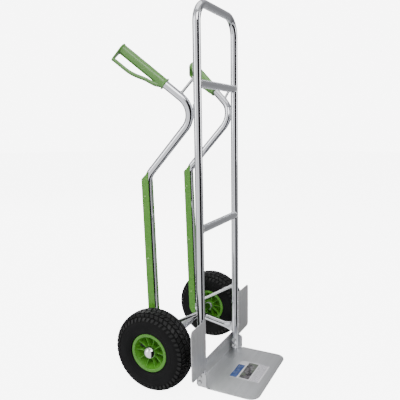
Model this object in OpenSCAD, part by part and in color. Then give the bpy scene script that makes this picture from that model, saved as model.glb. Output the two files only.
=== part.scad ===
// Two-wheeled hand truck: a bent aluminium tube frame with two rear side tubes, a folded
// toe plate, air-filled wheels on a plain axle, plastic stair skids and guarded hand grips.
// X runs across the truck, -Y is the load side, +Y the handle side, Z is up.
// The origin lies on the underside of the toe plate, in the middle plane, between the feet
// of the two uprights.

/* [Front frame] */
// Overall height of the front frame, floor to top
frame_h = 1196; // [1040:2:1400]
// Distance between the centre lines of the uprights
frame_w = 288; // [240:2:340]
// Backward lean of the front frame, degrees
frame_lean = 0.8; // [0:0.1:2]
// Outside diameter of every frame tube
tube_d = 25; // [22:0.5:30]
// Wall of the frame tubes
tube_wall = 2; // [1.5:0.1:3]
// Centre-line radius of the two top bends
top_bend_r = 60; // [50:1:90]
// Height of the upper crossbar
upper_bar_z = 952; // [800:2:1000]
// Height of the middle crossbar
mid_bar_z = 510; // [400:2:600]

/* [Rear side tubes] */
// Height of the point where a side tube touches its upright
contact_z = 870; // [780:2:920]
// Distance of the knee behind the upright's foot
knee_y = 191; // [160:1:230]
// Height of the knee
knee_z = 668; // [560:2:740]
// Forward lean of the leg below the knee, degrees
leg_lean = 2.2; // [1:0.1:4]
// Bend radius at the knee
knee_bend_r = 60; // [50:1:80]
// Bend radius where the tube touches the upright
contact_bend_r = 65; // [55:1:75]
// Bend radius at the axle
axle_bend_r = 40; // [36:1:44]
// Fall of the bottom strut towards the front, degrees
strut_fall = 10.5; // [8:0.5:13]
// Height of the strut's crushed front end
strut_flat_h = 35; // [30:1:38]
// Thickness of the strut's crushed front end
strut_flat_t = 5; // [4:0.5:7]
// Length of the crushed part
strut_crush_l = 34; // [25:1:45]

/* [Handles] */
// Outward splay of the handles, degrees
handle_splay = 23; // [15:1:28]
// Rise of the handles, degrees
handle_rise = 39; // [32:1:46]
// Start of the grip, measured along the handle from its bend corner
grip_from = 124; // [116:1:140]
// Length of the grip
grip_l = 166; // [140:1:190]
// Wall of the grip sleeve
grip_wall = 3; // [2:0.5:5]
// Diameter of the grip's inner flange
grip_flange_d = 38; // [36:1:44]
// Distance from the handle's centre line to that of the knuckle guard
guard_bar_gap = 40; // [38:1:48]
// Depth and width of the knuckle guard's band
guard_bar_t = 10; // [7:0.5:12]
guard_bar_w = 16; // [12:0.5:20]
// Outward turn of the knuckle guard about the handle, degrees
guard_bar_turn = 14; // [0:1:25]
// Diameter of the thin rod from the handle to the upright
handle_rod_d = 9; // [7:0.5:12]
// Diameter of the thin brace from the leg to the upright
leg_rod_d = 12; // [9:0.5:14]

/* [Stair skids] */
// Thickness of the skid behind the tube
skid_back_t = 4; // [3:0.5:6]
// Thickness of the skid's side walls
skid_side_t = 3; // [2:0.5:4]
// How far the side walls reach past the tube's centre
skid_reach = 10; // [6:0.5:11]
// Distance between the rivets
rivet_pitch = 203; // [120:1:220]
// Diameter of the rivet heads
rivet_head_d = 7; // [5:0.5:8]

/* [Toe plate] */
// Reach of the toe plate in front of the uprights' centre line
toe_reach = 191; // [150:1:260]
// Thickness of the sheet
toe_t = 3; // [2.5:0.5:5]
// Radius of the front corners
toe_corner_r = 34; // [10:1:60]
// Height of the rear flange
flange_h = 60; // [50:1:62]
// Height of the side ears
ear_h = 50; // [48:1:56]
// Reach of the ears in front of the uprights' centre line
ear_reach = 22; // [18:1:40]
// Heights of the two bolts in each foot
toe_bolt_low_z = 17; // [14:1:20]
toe_bolt_high_z = 38; // [34:1:40]
// Thread diameter of the foot bolts
toe_bolt_d = 8; // [6:1:8]

/* [Wheel guards] */
// Width of a guard plate
plate_w = 100; // [80:1:106]
// Height of a guard plate
plate_h = 165; // [120:1:200]
// Height of its lower edge
plate_z = 57; // [54:1:90]
// Thickness of the sheet
plate_t = 2.5; // [2:0.5:4]
// Corner radius
plate_corner_r = 12; // [3:1:30]

/* [Wheels] */
// Diameter of the tyre
wheel_d = 260; // [240:2:280]
// Width of the tyre
tyre_w = 84; // [76:1:84]
// Distance between the middle planes of the wheels
track = 437; // [420:1:480]
// Distance of the axle behind the uprights' foot
axle_y = 131; // [124:1:134]
// Diameter of the axle rod
axle_d = 20; // [16:0.5:20]
// Wall of the axle tube
axle_tube_wall = 2.5; // [2:0.1:3]
// Bead seat diameter of the rim
bead_d = 101.6; // [100:0.1:104]
// Diameter of the rim's flanges
rim_d = 123; // [118:1:128]
// Length of the hub
hub_l = 62; // [56:1:66]
// Number of ribs on each side of the rim
rib_count = 10; // [6:1:12]
// Radial play of the wheel bearings on the axle
bearing_play = 0.05; // [0.02:0.01:0.09]

/* [Hidden] */
$fn = 48;

aluminium = "silver";
green = [0.42, 0.67, 0.20];
black = [0.10, 0.10, 0.11];
steel = [0.62, 0.63, 0.65];

tube_r = tube_d / 2;
side_x = frame_w / 2;       // the uprights and the side tubes share this plane
seam = 0.1;                 // gap between pieces that lie against each other
weld_gap = 0.2;             // gap that a weld closes
cut = 1;                    // how far a cutting body runs past the face that it cuts

// Unit vector along v.
function unit(v) = v / norm(v);
// Point on the leaning centre line of the uprights, at distance s from the origin.
function upright_point(s) = [side_x, s * sin(frame_lean), s * cos(frame_lean)];
// Crossing of the line through p along u and the line through q along v, in the YZ plane.
function crossing(p, u, q, v) =
    let (k = ((q.y - p.y) * v.z - (q.z - p.z) * v.y) / (u.y * v.z - u.z * v.y)) p + k * u;

// Side tube: directions of its four straight runs, going up from the strut's front end.
strut_dir = [0, cos(strut_fall), sin(strut_fall)];
leg_dir = [0, sin(leg_lean), cos(leg_lean)];
handle_dir = [sin(handle_splay) * cos(handle_rise), cos(handle_splay) * cos(handle_rise),
              sin(handle_rise)];

wheel_r = wheel_d / 2;
axle_at = [0, axle_y, wheel_r];
knee = [side_x, knee_y, knee_z];
// The strut runs under the axle tube and carries it.
strut_under_axle = [side_x, axle_y + (tube_d + weld_gap) * sin(strut_fall),
                    wheel_r - (tube_d + weld_gap) * cos(strut_fall)];
heel = crossing(strut_under_axle, strut_dir, knee, leg_dir);

// The contact bend is placed so that its outside just meets the back of the upright.
contact_back_y = contact_z * tan(frame_lean) + tube_r + weld_gap;
// How far behind its corner a bend from u to v of radius r stays, at the place where it is foremost.
function bend_clear(u, v, r) =
    let (inward = unit(v - u), normal = unit(cross(u, v)))
    r * (inward.y / cos(acos(u * v) / 2) - sqrt(1 - normal.y * normal.y));
function corner_y(rise) = contact_back_y + tube_r
    - bend_clear([0, -cos(rise), sin(rise)], handle_dir, contact_bend_r);
first_rise = 48;            // first value for the rise of the diagonal, which one step corrects
diagonal_rise = atan2(contact_z - knee_z, knee_y - corner_y(first_rise));
contact_corner = [side_x, corner_y(diagonal_rise), contact_z];
diagonal_dir = unit(contact_corner - knee);

strut_front_y = upright_point(strut_under_axle.z).y + tube_r;
strut_front = strut_under_axle - strut_dir * (strut_under_axle.y - strut_front_y) / strut_dir.y;
crush_start = strut_front + strut_dir * strut_crush_l;
handle_in_end = 10;         // how far inside the grip's end the tube stops
handle_tube_l = grip_from + grip_l - handle_in_end;
handle_end = contact_corner + handle_dir * handle_tube_l;

// Toe plate, which takes its width from the frame that stands in it.
ear_x = side_x + tube_r + seam;
toe_w = 2 * (ear_x + toe_t);
flange_y = tube_r + flange_h * tan(frame_lean) + seam;
toe_bolt_play = 0.2;
bolt_head_d = 1.8 * toe_bolt_d;
bolt_head_h = 0.55 * toe_bolt_d;
nut_w = 1.63 * toe_bolt_d;
nut_h = 0.8 * toe_bolt_d;
washer_d = 2 * toe_bolt_d;
washer_t = 1.6;

// Wheel, drawn about its own axis with its middle plane at zero and its outer side at +Z.
rim_flange_in = 31;
rim_flange_foot = rim_flange_in - 0.5;  // the flange's inner face slopes, as a mould needs
rim_flange_out = 35;
rim_ring_w = 9.5;
rim_barrel_t = 4;
rim_web_t = 5;
rib_t = 2.6;
hub_r = 19;
bearing_r = 15;
bearing_l = 15;
spacer_r = 12.5;
cap_r = 20.5;
cap_skirt = 5;
cap_rise = 14;
cap_t = 1.2;
hub_gap = 0.3;
axle_washer_t = 1.5;
axle_washer_r = 15;
split_pin_d = 3;
split_pin_out = 5;
axle_end_past_pin = 3;
tyre_wall = 7;
valve_angle = 18;
valve_d = 8;
valve_reach = 12;
valve_x = 16;

hub_in_x = track / 2 - hub_l / 2;
hub_out_x = track / 2 + hub_l / 2;
axle_tube_l = 2 * (hub_in_x - 2 * hub_gap - axle_washer_t);
split_pin_x = hub_out_x + 2 * hub_gap + axle_washer_t + split_pin_d / 2;
axle_l = 2 * (split_pin_x + split_pin_d / 2 + axle_end_past_pin);

// Plain round bar from point a to point b.
module bar(a, b, d) {
    v = b - a;
    translate(a)
        rotate([0, acos(v.z / norm(v)), atan2(v.y, v.x)])
            cylinder(d = d, h = norm(v));
}

// One straight run of a bent bar along +Z, followed by its bend and by the rest of the bar.
// Each run is drawn in the frame of the one before it, so that they meet exactly. x_axis is the
// direction of the local X axis, and cut_back is what the bend before this run took off it.
module bar_run(points, radii, d, run_on, x_axis, cut_back, i = 0) {
    u = unit(points[i + 1] - points[i]);
    last = i == len(points) - 2;
    v = last ? u : unit(points[i + 2] - points[i + 1]);
    turn = last ? 0 : acos(u * v);
    r = last ? 0 : radii[i];
    take = last ? -run_on : r * tan(turn / 2);
    h = norm(points[i + 1] - points[i]) - cut_back - take;
    cylinder(d = d, h = h);
    if (!last) {
        inward = unit(v - (v * u) * u);
        translate([0, 0, h])
            rotate([0, 0, atan2(inward * cross(u, x_axis), inward * x_axis)])
                translate([r, 0, 0]) {
                    rotate([90, 0, 180])
                        rotate_extrude(angle = turn)
                            translate([r, 0])
                                circle(d = d);
                    rotate([0, turn, 0])
                        translate([-r, 0, 0])
                            bar_run(points, radii, d, run_on, cos(turn) * inward - sin(turn) * u,
                                    take, i + 1);
                }
    }
}

// Round bar along a line of corner points, with one bend radius for each inner corner.
// Both ends may run on by a given length, which opens the ends of a bore.
module bent_bar(points, radii, d, run_on = 0) {
    u = unit(points[1] - points[0]);
    tip = acos(u.z);
    swing = atan2(u.y, u.x);
    translate(points[0])
        rotate([0, tip, swing])
            translate([0, 0, -run_on])
                bar_run(points, radii, d, run_on,
                        [cos(swing) * cos(tip), sin(swing) * cos(tip), -sin(tip)], -run_on);
}

// Places its children on the left side as well as on the right.
module both_sides() {
    children();
    mirror([1, 0, 0]) children();
}

// ---- front frame ----

frame_top = frame_h - tube_r;

// Leans its children back as the front frame leans.
module leaning() {
    rotate([-frame_lean, 0, 0]) children();
}

module front_frame_bar(d, run_on) {
    bent_bar([[side_x, 0, 0], [side_x, 0, frame_top], [-side_x, 0, frame_top], [-side_x, 0, 0]],
             [top_bend_r, top_bend_r], d, run_on);
}

// Bolt holes through both feet, along X.
module toe_bolt_holes(r) {
    for (side = [-1, 1], z = [toe_bolt_low_z, toe_bolt_high_z])
        translate([side * side_x, 0, z])
            rotate([0, 90, 0])
                cylinder(r = r, h = 2 * tube_d, center = true);
}

module front_frame() {
    color(aluminium)
    difference() {
        leaning()
            difference() {
                front_frame_bar(tube_d, 0);
                front_frame_bar(tube_d - 2 * tube_wall, cut);
                toe_bolt_holes(toe_bolt_d / 2 + toe_bolt_play);
            }
        translate([-frame_w, -tube_d, toe_t - tube_d])
            cube([2 * frame_w, 2 * tube_d, tube_d]);
    }
}

// Straight tube between the uprights, with its ends shaped to them. A weld fills the gap.
module crossbar(z) {
    leaning()
        difference() {
            translate([-side_x, 0, z])
                rotate([0, 90, 0])
                    difference() {
                        cylinder(d = tube_d, h = frame_w);
                        translate([0, 0, -cut])
                            cylinder(d = tube_d - 2 * tube_wall, h = frame_w + 2 * cut);
                    }
            for (side = [-1, 1])
                translate([side * side_x, 0, z - tube_d])
                    cylinder(r = tube_r + weld_gap, h = 2 * tube_d);
        }
}

module upper_crossbar() {
    color(aluminium) crossbar(upper_bar_z);
}

module middle_crossbar() {
    color(aluminium) crossbar(mid_bar_z);
}

// ---- rear side tubes ----

side_tube_sides = 28;       // flat sides round the side tube's skin
bend_steps = 8;

// The bend at corner p, from direction u into direction v, as [point, direction] pairs.
function bend_line(p, u, v, r) =
    let (turn = acos(u * v), inward = unit(v - (v * u) * u), from = p - r * tan(turn / 2) * u)
    [for (i = [0:bend_steps])
        let (a = turn * i / bend_steps)
        [from + r * sin(a) * u + r * (1 - cos(a)) * inward, cos(a) * u + sin(a) * inward]];

// Centre line of the side tube, from the end of the crushed part up to the end of the handle.
side_tube_line = concat(
    [[crush_start, strut_dir]],
    bend_line(heel, strut_dir, leg_dir, axle_bend_r),
    bend_line(knee, leg_dir, diagonal_dir, knee_bend_r),
    bend_line(contact_corner, diagonal_dir, handle_dir, contact_bend_r),
    [[handle_end, handle_dir]]);

// Ring of points round a place on a line, wide along X and high across X.
function ring(at, width, height) =
    let (up = unit(cross([1, 0, 0], at[1])), side = cross(at[1], up))
    [for (k = [0:side_tube_sides - 1])
        let (a = 360 * k / side_tube_sides)
        at[0] + width / 2 * cos(a) * side + height / 2 * sin(a) * up];

// Rings of the crushed part, from its flat tip on the upright back to the round tube.
crush_steps = 5;
function crushed_ring(i) =
    let (k = i / crush_steps, width = strut_flat_t + (tube_d - strut_flat_t) * k,
         height = strut_flat_h + (tube_d - strut_flat_h) * k)
    ring([strut_front + strut_dir * strut_crush_l * k, strut_dir], width, height);

// The tip's end stands parallel to the back of the upright.
function tip_ring() =
    [for (q = crushed_ring(0)) [q.x, q.z * tan(frame_lean) + tube_r + weld_gap, q.z]];

// Closed skin through a list of rings.
module skin(rings) {
    n = side_tube_sides;
    last = (len(rings) - 1) * n;
    polyhedron(
        points = [for (r = rings) for (q = r) q],
        faces = concat(
            [[for (k = [n - 1:-1:0]) k]],
            [[for (k = [0:n - 1]) last + k]],
            [for (i = [0:len(rings) - 2], k = [0:n - 1])
                let (a = i * n, b = a + n, j = (k + 1) % n)
                each [[a + k, a + j, b + j], [a + k, b + j, b + k]]]));
}

// The right upright as a plain bar, which other pieces are shaped to.
module upright_bar(d) {
    leaning()
        translate([side_x, 0, 0])
            cylinder(d = d, h = frame_h - top_bend_r - tube_d);
}

// The tube's outside, then back down its bore as far as the crushed part.
module side_tube() {
    bore_d = tube_d - 2 * tube_wall;
    n = len(side_tube_line);
    color(aluminium)
    skin(concat(
        [tip_ring()],
        [for (i = [1:crush_steps - 1]) crushed_ring(i)],
        [for (at = side_tube_line) ring(at, tube_d, tube_d)],
        [for (i = [n - 1:-1:0]) ring(side_tube_line[i], bore_d, bore_d)]));
}

module left_side_tube() {
    mirror([1, 0, 0]) side_tube();
}

module right_side_tube() {
    side_tube();
}

rod_on_handle = 72;         // along the handle from its bend corner
rod_above_contact = 108;    // along the upright from the side tube's contact

// Thin rod that ties the handle to the back of the upright.
module handle_rod() {
    rod_from = contact_corner + handle_dir * rod_on_handle;
    rod_to = upright_point(contact_z + rod_above_contact);
    color(steel)
    difference() {
        bar(rod_from, rod_to, handle_rod_d);
        bar(contact_corner, handle_end, tube_d + 2 * weld_gap);
        upright_bar(tube_d + 2 * weld_gap);
    }
}

module left_handle_rod() {
    mirror([1, 0, 0]) handle_rod();
}

module right_handle_rod() {
    handle_rod();
}

brace_on_leg = 38;          // along the leg from the heel's corner
brace_above_axle = 118;

// Thin brace from the heel of the side tube up to the upright.
module leg_brace() {
    brace_from = heel + leg_dir * brace_on_leg;
    brace_to = upright_point(wheel_r + brace_above_axle);
    color(aluminium)
    difference() {
        bar(brace_from, brace_to, leg_rod_d);
        bar(heel - leg_dir * tube_d, knee, tube_d + 2 * weld_gap);
        upright_bar(tube_d + 2 * weld_gap);
    }
}

module left_leg_brace() {
    mirror([1, 0, 0]) leg_brace();
}

module right_leg_brace() {
    leg_brace();
}

// ---- stair skids ----

skid_back_y = tube_r + skid_back_t;
skid_side_x = tube_r + skid_side_t;
leg_l = norm(knee - heel);
rivet_y = 4;
rivet_from_knee = 62;
rivet_hole_d = 3.2;
rivet_head_h = 1.5;

module at_knee() {
    translate(knee) rotate([-leg_lean, 0, 0]) children();
}

// Side outline of the skid: Y is behind the leg's centre line, X is the height above the knee.
module skid_outline() {
    polygon([[16, -skid_reach], [-8, skid_back_y], [-leg_l + 26, skid_back_y],
             [-leg_l + 4, 6], [-leg_l, -skid_reach]]);
}

module rivet_places() {
    for (i = [0:2], side = [-1, 1])
        translate([0, rivet_y, -rivet_from_knee - i * rivet_pitch])
            rotate([0, 90 * side, 0])
                children();
}

// Cross-section of the skid: a channel that the tube lies in.
module skid_section() {
    inner = tube_r + seam;
    difference() {
        translate([-skid_side_x, -skid_reach])
            square([2 * skid_side_x, skid_reach + skid_back_y]);
        circle(r = inner);
        translate([-inner, -skid_reach - cut]) square([2 * inner, skid_reach + cut]);
    }
}

module skid() {
    color(green)
    at_knee()
        difference() {
            intersection() {
                translate([0, 0, -leg_l])
                    linear_extrude(leg_l + tube_d)
                        skid_section();
                rotate([0, -90, 0])
                    linear_extrude(2 * skid_side_x + cut, center = true)
                        skid_outline();
            }
            rivet_places()
                cylinder(d = rivet_hole_d, h = skid_side_x + cut);
        }
}

module left_skid() {
    mirror([1, 0, 0]) skid();
}

module right_skid() {
    skid();
}

module skid_rivets() {
    color(green)
    at_knee()
        rivet_places() {
            translate([0, 0, tube_r + seam])
                cylinder(d = rivet_hole_d, h = skid_side_t - seam);
            translate([0, 0, skid_side_x])
                cylinder(d1 = rivet_head_d, d2 = rivet_head_d - 2, h = rivet_head_h);
        }
}

module left_skid_rivets() {
    mirror([1, 0, 0]) skid_rivets();
}

module right_skid_rivets() {
    skid_rivets();
}

// ---- grips ----

grip_r = tube_r + grip_wall;
grip_end = grip_from + grip_l;
end_plate_t = 5;
flange_t = 4;
guard_bend_at = grip_from + 0.5 * grip_l;
guard_root_at = grip_from + 12;
guard_root_gap = grip_r + 3.5;

// Frame of the handle: Z along it, Y below it and behind, X outwards.
module on_handle() {
    translate(contact_corner)
        rotate([0, 0, -handle_splay])
            rotate([handle_rise - 90, 0, 0])
                children();
}

// Outline of the end plate, which joins the sleeve's end to the guard's end.
module end_plate_outline() {
    big = grip_r + 1.5;
    small = guard_bar_w / 2;
    reach = guard_bar_gap - small + guard_bar_t / 2 + 1;
    wide = big - 0.8;
    narrow = small - 0.8;
    circle(r = big);
    translate([0, reach]) circle(r = small);
    polygon([[wide, 0], [narrow, reach], [-narrow, reach], [-wide, 0]]);
}

// Knuckle guard's band: a flat bar bent once. The profile has Y below the handle and Z along it.
module guard_band() {
    root = [guard_root_gap, guard_root_at];
    bend = [guard_bar_gap, guard_bend_at];
    tip = [guard_bar_gap, grip_end - end_plate_t / 2];
    slant = unit(bend - root);
    off_root = guard_bar_t / 2 * [slant.y, -slant.x];
    off_tip = guard_bar_t / 2 * [1, 0];
    off_bend = (off_root + off_tip) / (1 + slant.y);
    rotate([90, 0, 90])
        linear_extrude(guard_bar_w, center = true)
            polygon([root + off_root, bend + off_bend, tip + off_tip,
                     tip - off_tip, bend - off_bend, root - off_root]);
}

module grip() {
    color(green)
    on_handle()
        difference() {
            union() {
                translate([0, 0, grip_from])
                    cylinder(r = grip_r, h = grip_l);
                translate([0, 0, grip_from])
                    cylinder(d = grip_flange_d, h = flange_t);
                rotate([0, 0, -guard_bar_turn]) {
                    translate([0, 0, grip_end - end_plate_t])
                        linear_extrude(end_plate_t)
                            end_plate_outline();
                    guard_band();
                }
            }
            translate([0, 0, grip_from - tube_d])
                cylinder(r = tube_r + seam, h = handle_tube_l - grip_from + tube_d + seam);
        }
}

module left_grip() {
    mirror([1, 0, 0]) grip();
}

module right_grip() {
    grip();
}

// ---- wheel guards ----

// Rectangle with its two outer corners rounded.
module plate_outline() {
    r = plate_corner_r;
    square([plate_w - r, plate_h]);
    translate([0, r]) square([plate_w, plate_h - 2 * r]);
    for (y = [r, plate_h - r])
        translate([plate_w - r, y]) circle(r = r);
}

module wheel_guard() {
    weld_lap = 2;           // how far the plate reaches past the upright's centre line
    color(aluminium)
    leaning()
        translate([side_x - weld_lap, -tube_r - seam, plate_z])
            rotate([90, 0, 0])
                linear_extrude(plate_t)
                    plate_outline();
}

module left_wheel_guard() {
    mirror([1, 0, 0]) wheel_guard();
}

module right_wheel_guard() {
    wheel_guard();
}

// ---- toe plate ----

// Sheet outline with rounded front corners.
module toe_outline() {
    r = toe_corner_r;
    depth = toe_reach + flange_y + toe_t;
    translate([-toe_w / 2, -toe_reach + r]) square([toe_w, depth - r]);
    translate([-toe_w / 2 + r, -toe_reach]) square([toe_w - 2 * r, depth]);
    for (x = [-1, 1])
        translate([x * (toe_w / 2 - r), -toe_reach + r]) circle(r = r);
}

// Side view of one ear: X is to the front, Y is up.
module ear_outline() {
    r = 12;
    reach = ear_reach + flange_y + toe_t;
    square([reach, ear_h - r]);
    square([reach - r, ear_h]);
    translate([reach - r, ear_h - r]) circle(r = r);
}

module toe_plate() {
    color(aluminium)
    difference() {
        union() {
            linear_extrude(toe_t) toe_outline();
            translate([-toe_w / 2, flange_y, 0]) cube([toe_w, toe_t, flange_h]);
            both_sides()
                translate([ear_x, flange_y + toe_t, 0])
                    rotate([90, 0, -90])
                        mirror([0, 0, 1])
                            linear_extrude(toe_t)
                                ear_outline();
        }
        leaning() toe_bolt_holes(toe_bolt_d / 2 + toe_bolt_play);
    }
}

// Places its children at each foot bolt, with Z pointing outwards along the bolt.
module toe_bolt_places() {
    leaning()
    both_sides()
        for (z = [toe_bolt_low_z, toe_bolt_high_z])
            translate([0, 0, z])
                rotate([0, 90, 0])
                    children();
}

inner_face_x = side_x - tube_r;
bolt_in_x = inner_face_x - seam - washer_t - nut_h - 3;

module toe_bolts() {
    head_x = ear_x + toe_t;
    color(steel)
    toe_bolt_places() {
        translate([0, 0, bolt_in_x])
            cylinder(d = toe_bolt_d, h = head_x - bolt_in_x);
        translate([0, 0, head_x])
            cylinder(d1 = bolt_head_d, d2 = bolt_head_d - 3, h = bolt_head_h);
    }
}

module toe_washers() {
    color(steel)
    toe_bolt_places()
        translate([0, 0, inner_face_x - seam - washer_t])
            difference() {
                cylinder(d = washer_d, h = washer_t);
                translate([0, 0, -cut])
                    cylinder(d = toe_bolt_d + 2 * toe_bolt_play, h = washer_t + 2 * cut);
            }
}

module toe_nuts() {
    color(steel)
    toe_bolt_places()
        translate([0, 0, inner_face_x - seam - washer_t - nut_h])
            difference() {
                cylinder(d = nut_w / cos(30), h = nut_h, $fn = 6);
                translate([0, 0, -cut])
                    cylinder(d = toe_bolt_d, h = nut_h + 2 * cut);
            }
}

label_w = 118;
label_d = 104;
label_t = 0.4;
label_y = -0.58 * toe_reach;

module label() {
    color("white")
    translate([-label_w / 2, label_y - label_d / 2, toe_t])
        cube([label_w, label_d, label_t]);
}

// ---- axle ----

module across(x) {
    translate([x, axle_at.y, axle_at.z]) rotate([0, 90, 0]) children();
}

module axle_tube() {
    color(aluminium)
    across(0)
        difference() {
            cylinder(d = axle_d + 2 * axle_tube_wall, h = axle_tube_l, center = true);
            cylinder(d = axle_d, h = axle_tube_l + 2 * cut, center = true);
        }
}

module axle_rod() {
    color(steel)
    across(0)
        difference() {
            cylinder(d = axle_d, h = axle_l, center = true);
            for (side = [-1, 1])
                translate([0, 0, side * split_pin_x])
                    rotate([90, 0, 0])
                        cylinder(d = split_pin_d, h = 2 * axle_d, center = true);
        }
}

// Washers on both sides of both hubs.
module axle_washers() {
    color(steel)
    both_sides()
        for (x = [hub_in_x - hub_gap - axle_washer_t, hub_out_x + hub_gap])
            across(x)
                difference() {
                    cylinder(r = axle_washer_r, h = axle_washer_t);
                    translate([0, 0, -cut])
                        cylinder(d = axle_d + 2 * bearing_play, h = axle_washer_t + 2 * cut);
                }
}

module split_pins() {
    color(steel)
    both_sides()
        across(split_pin_x)
            rotate([90, 0, 0])
                cylinder(d = split_pin_d, h = axle_d + 2 * split_pin_out, center = true);
}

// ---- wheels ----

// Puts a wheel drawn about Z on the axle, with its outer side to the right.
module on_axle() {
    across(track / 2) children();
}

bead_r = bead_d / 2;
rim_r = rim_d / 2;
well_r = bead_r - 6;

// Half section of the tyre: the outer casing less the space for the inner tube.
module tyre_section() {
    half = tyre_w / 2;
    shoulder = 20;
    belly_r = (wheel_r + bead_r) / 2;
    difference() {
        casing_section(half, shoulder, belly_r);
        tube_section();
    }
}

// Outer line of the casing, from bead to bead over the tread.
module casing_section(half, shoulder, belly_r) {
    polygon(concat(
        [[bead_r + seam, -rim_flange_foot + seam], [bead_r + seam, rim_flange_foot - seam]],
        [[rim_r + 1.5, rim_flange_in - seam], [rim_r + 4, half - 3]],
        [for (a = [-20:10:60]) [belly_r + (wheel_r - shoulder / 2 - belly_r) * sin(a),
                                half - shoulder / 2 + shoulder / 2 * cos(max(a, 0))]],
        [[wheel_r - 3, half - 14], [wheel_r, half - 26]],
        [[wheel_r, -half + 26], [wheel_r - 3, -half + 14]],
        [for (a = [60:-10:-20]) [belly_r + (wheel_r - shoulder / 2 - belly_r) * sin(a),
                                 -half + shoulder / 2 - shoulder / 2 * cos(max(a, 0))]],
        [[rim_r + 4, -half + 3], [rim_r + 1.5, -rim_flange_in + seam]]));
}

// Round hollow that the inner tube fills.
tube_centre_r = (wheel_r - tyre_wall + bead_r) / 2;
inner_tube_r = (wheel_r - tyre_wall - bead_r) / 2;

module tube_section() {
    translate([tube_centre_r, 0]) circle(r = inner_tube_r);
    translate([bead_r - cut, -14]) square([inner_tube_r, 28]);
}

module tyre() {
    color(black) on_axle() rotate_extrude() tyre_section();
}

module inner_tube() {
    color(black)
    on_axle()
        rotate_extrude()
            translate([tube_centre_r, 0])
                difference() {
                    circle(r = inner_tube_r - seam);
                    circle(r = inner_tube_r - 2.5);
                }
}

// Section of the moulded rim: barrel with bead seats and flanges, web and hub.
module rim_section() {
    polygon([[rim_r, rim_flange_out], [rim_r, rim_flange_in], [bead_r, rim_flange_foot],
             [bead_r, 20], [well_r, 13], [well_r, -13], [bead_r, -20],
             [bead_r, -rim_flange_foot], [rim_r, -rim_flange_in], [rim_r, -rim_flange_out],
             [rim_r - rim_ring_w, -rim_flange_out], [bead_r - rim_barrel_t, -20],
             [well_r - rim_barrel_t, -rim_web_t / 2 - 4], [well_r - rim_barrel_t - 2, -rim_web_t / 2],
             [hub_r - cut, -rim_web_t / 2], [hub_r - cut, rim_web_t / 2],
             [well_r - rim_barrel_t - 2, rim_web_t / 2], [well_r - rim_barrel_t, rim_web_t / 2 + 4],
             [bead_r - rim_barrel_t, 20], [rim_r - rim_ring_w, rim_flange_out]]);
}

// One rib, from the hub out to the barrel, standing on the outer or the inner side of the web.
module rib() {
    rotate([90, 0, 0])
        linear_extrude(rib_t, center = true)
            polygon([[hub_r - cut, 0], [hub_r - cut, hub_l / 2 - cap_skirt - 1],
                     [rim_r - rim_ring_w - 3, rim_flange_out - 8],
                     [bead_r - rim_barrel_t + 1, 20], [well_r - rim_barrel_t + 1, 8],
                     [well_r - rim_barrel_t + 1, 0]]);
}

module rim() {
    color(green)
    on_axle()
        difference() {
            union() {
                rotate_extrude() rim_section();
                cylinder(r = hub_r, h = hub_l, center = true);
                for (i = [0:rib_count - 1])
                    rotate([0, 0, i * 360 / rib_count]) {
                        rib();
                        mirror([0, 0, 1]) rib();
                    }
            }
            cylinder(r = spacer_r + seam, h = hub_l + 2 * cut, center = true);
            for (side = [-1, 1])
                translate([0, 0, side * (hub_l / 2 - bearing_l / 2 + cut / 2)])
                    cylinder(r = bearing_r, h = bearing_l + cut, center = true);
            valve_place()
                translate([0, 0, -valve_reach])
                    cylinder(d = valve_d, h = 2 * valve_reach);
        }
}

// Roller bearings at the two ends of the hub.
module bearings() {
    color(steel)
    on_axle()
        for (side = [-1, 1])
            translate([0, 0, side * (hub_l / 2 - bearing_l / 2)])
                difference() {
                    cylinder(r = bearing_r, h = bearing_l, center = true);
                    cylinder(d = axle_d + 2 * bearing_play, h = bearing_l + cut, center = true);
                }
}

// Sleeve that keeps the bearings apart inside the hub.
module hub_spacer() {
    color(steel)
    on_axle()
        difference() {
            cylinder(r = spacer_r, h = hub_l - 2 * bearing_l, center = true);
            cylinder(d = axle_d + 2 * bearing_play, h = hub_l, center = true);
        }
}

// The valve stands in the barrel between two ribs and points at the axle.
module valve_place() {
    rotate([0, 0, valve_angle])
        translate([well_r - rim_barrel_t, 0, valve_x - 2])
            rotate([0, -90, 0])
                children();
}

module valve_stem() {
    color(black)
    on_axle()
        valve_place()
            translate([0, 0, -rim_barrel_t])
                cylinder(d = valve_d - 2 * seam, h = valve_reach + rim_barrel_t - 5);
}

module valve_cap() {
    color(black)
    on_axle()
        valve_place()
            translate([0, 0, valve_reach - 5])
                cylinder(d = valve_d - 1, h = 7);
}

// Domed cap pressed over the outer end of the hub.
module hub_cap() {
    dome_r = (cap_r * cap_r + cap_rise * cap_rise) / (2 * cap_rise);
    color(steel)
    on_axle()
        translate([0, 0, hub_l / 2])
            difference() {
                union() {
                    translate([0, 0, -cap_skirt]) cylinder(r = cap_r, h = cap_skirt);
                    intersection() {
                        translate([0, 0, cap_rise - dome_r]) sphere(r = dome_r, $fn = 96);
                        cylinder(r = cap_r, h = cap_rise);
                    }
                }
                translate([0, 0, -cap_skirt - cut]) cylinder(r = hub_r, h = cap_skirt + cut);
                intersection() {
                    translate([0, 0, cap_rise - dome_r]) sphere(r = dome_r - cap_t, $fn = 96);
                    translate([0, 0, -cut]) cylinder(r = cap_r - cap_t, h = cap_rise + cut);
                }
            }
}

module left_wheel_side() {
    mirror([1, 0, 0]) children();
}

module left_tyre() { left_wheel_side() tyre(); }
module left_inner_tube() { left_wheel_side() inner_tube(); }
module left_rim() { left_wheel_side() rim(); }
module left_bearings() { left_wheel_side() bearings(); }
module left_hub_spacer() { left_wheel_side() hub_spacer(); }
module left_valve_stem() { left_wheel_side() valve_stem(); }
module left_valve_cap() { left_wheel_side() valve_cap(); }
module left_hub_cap() { left_wheel_side() hub_cap(); }

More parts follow.
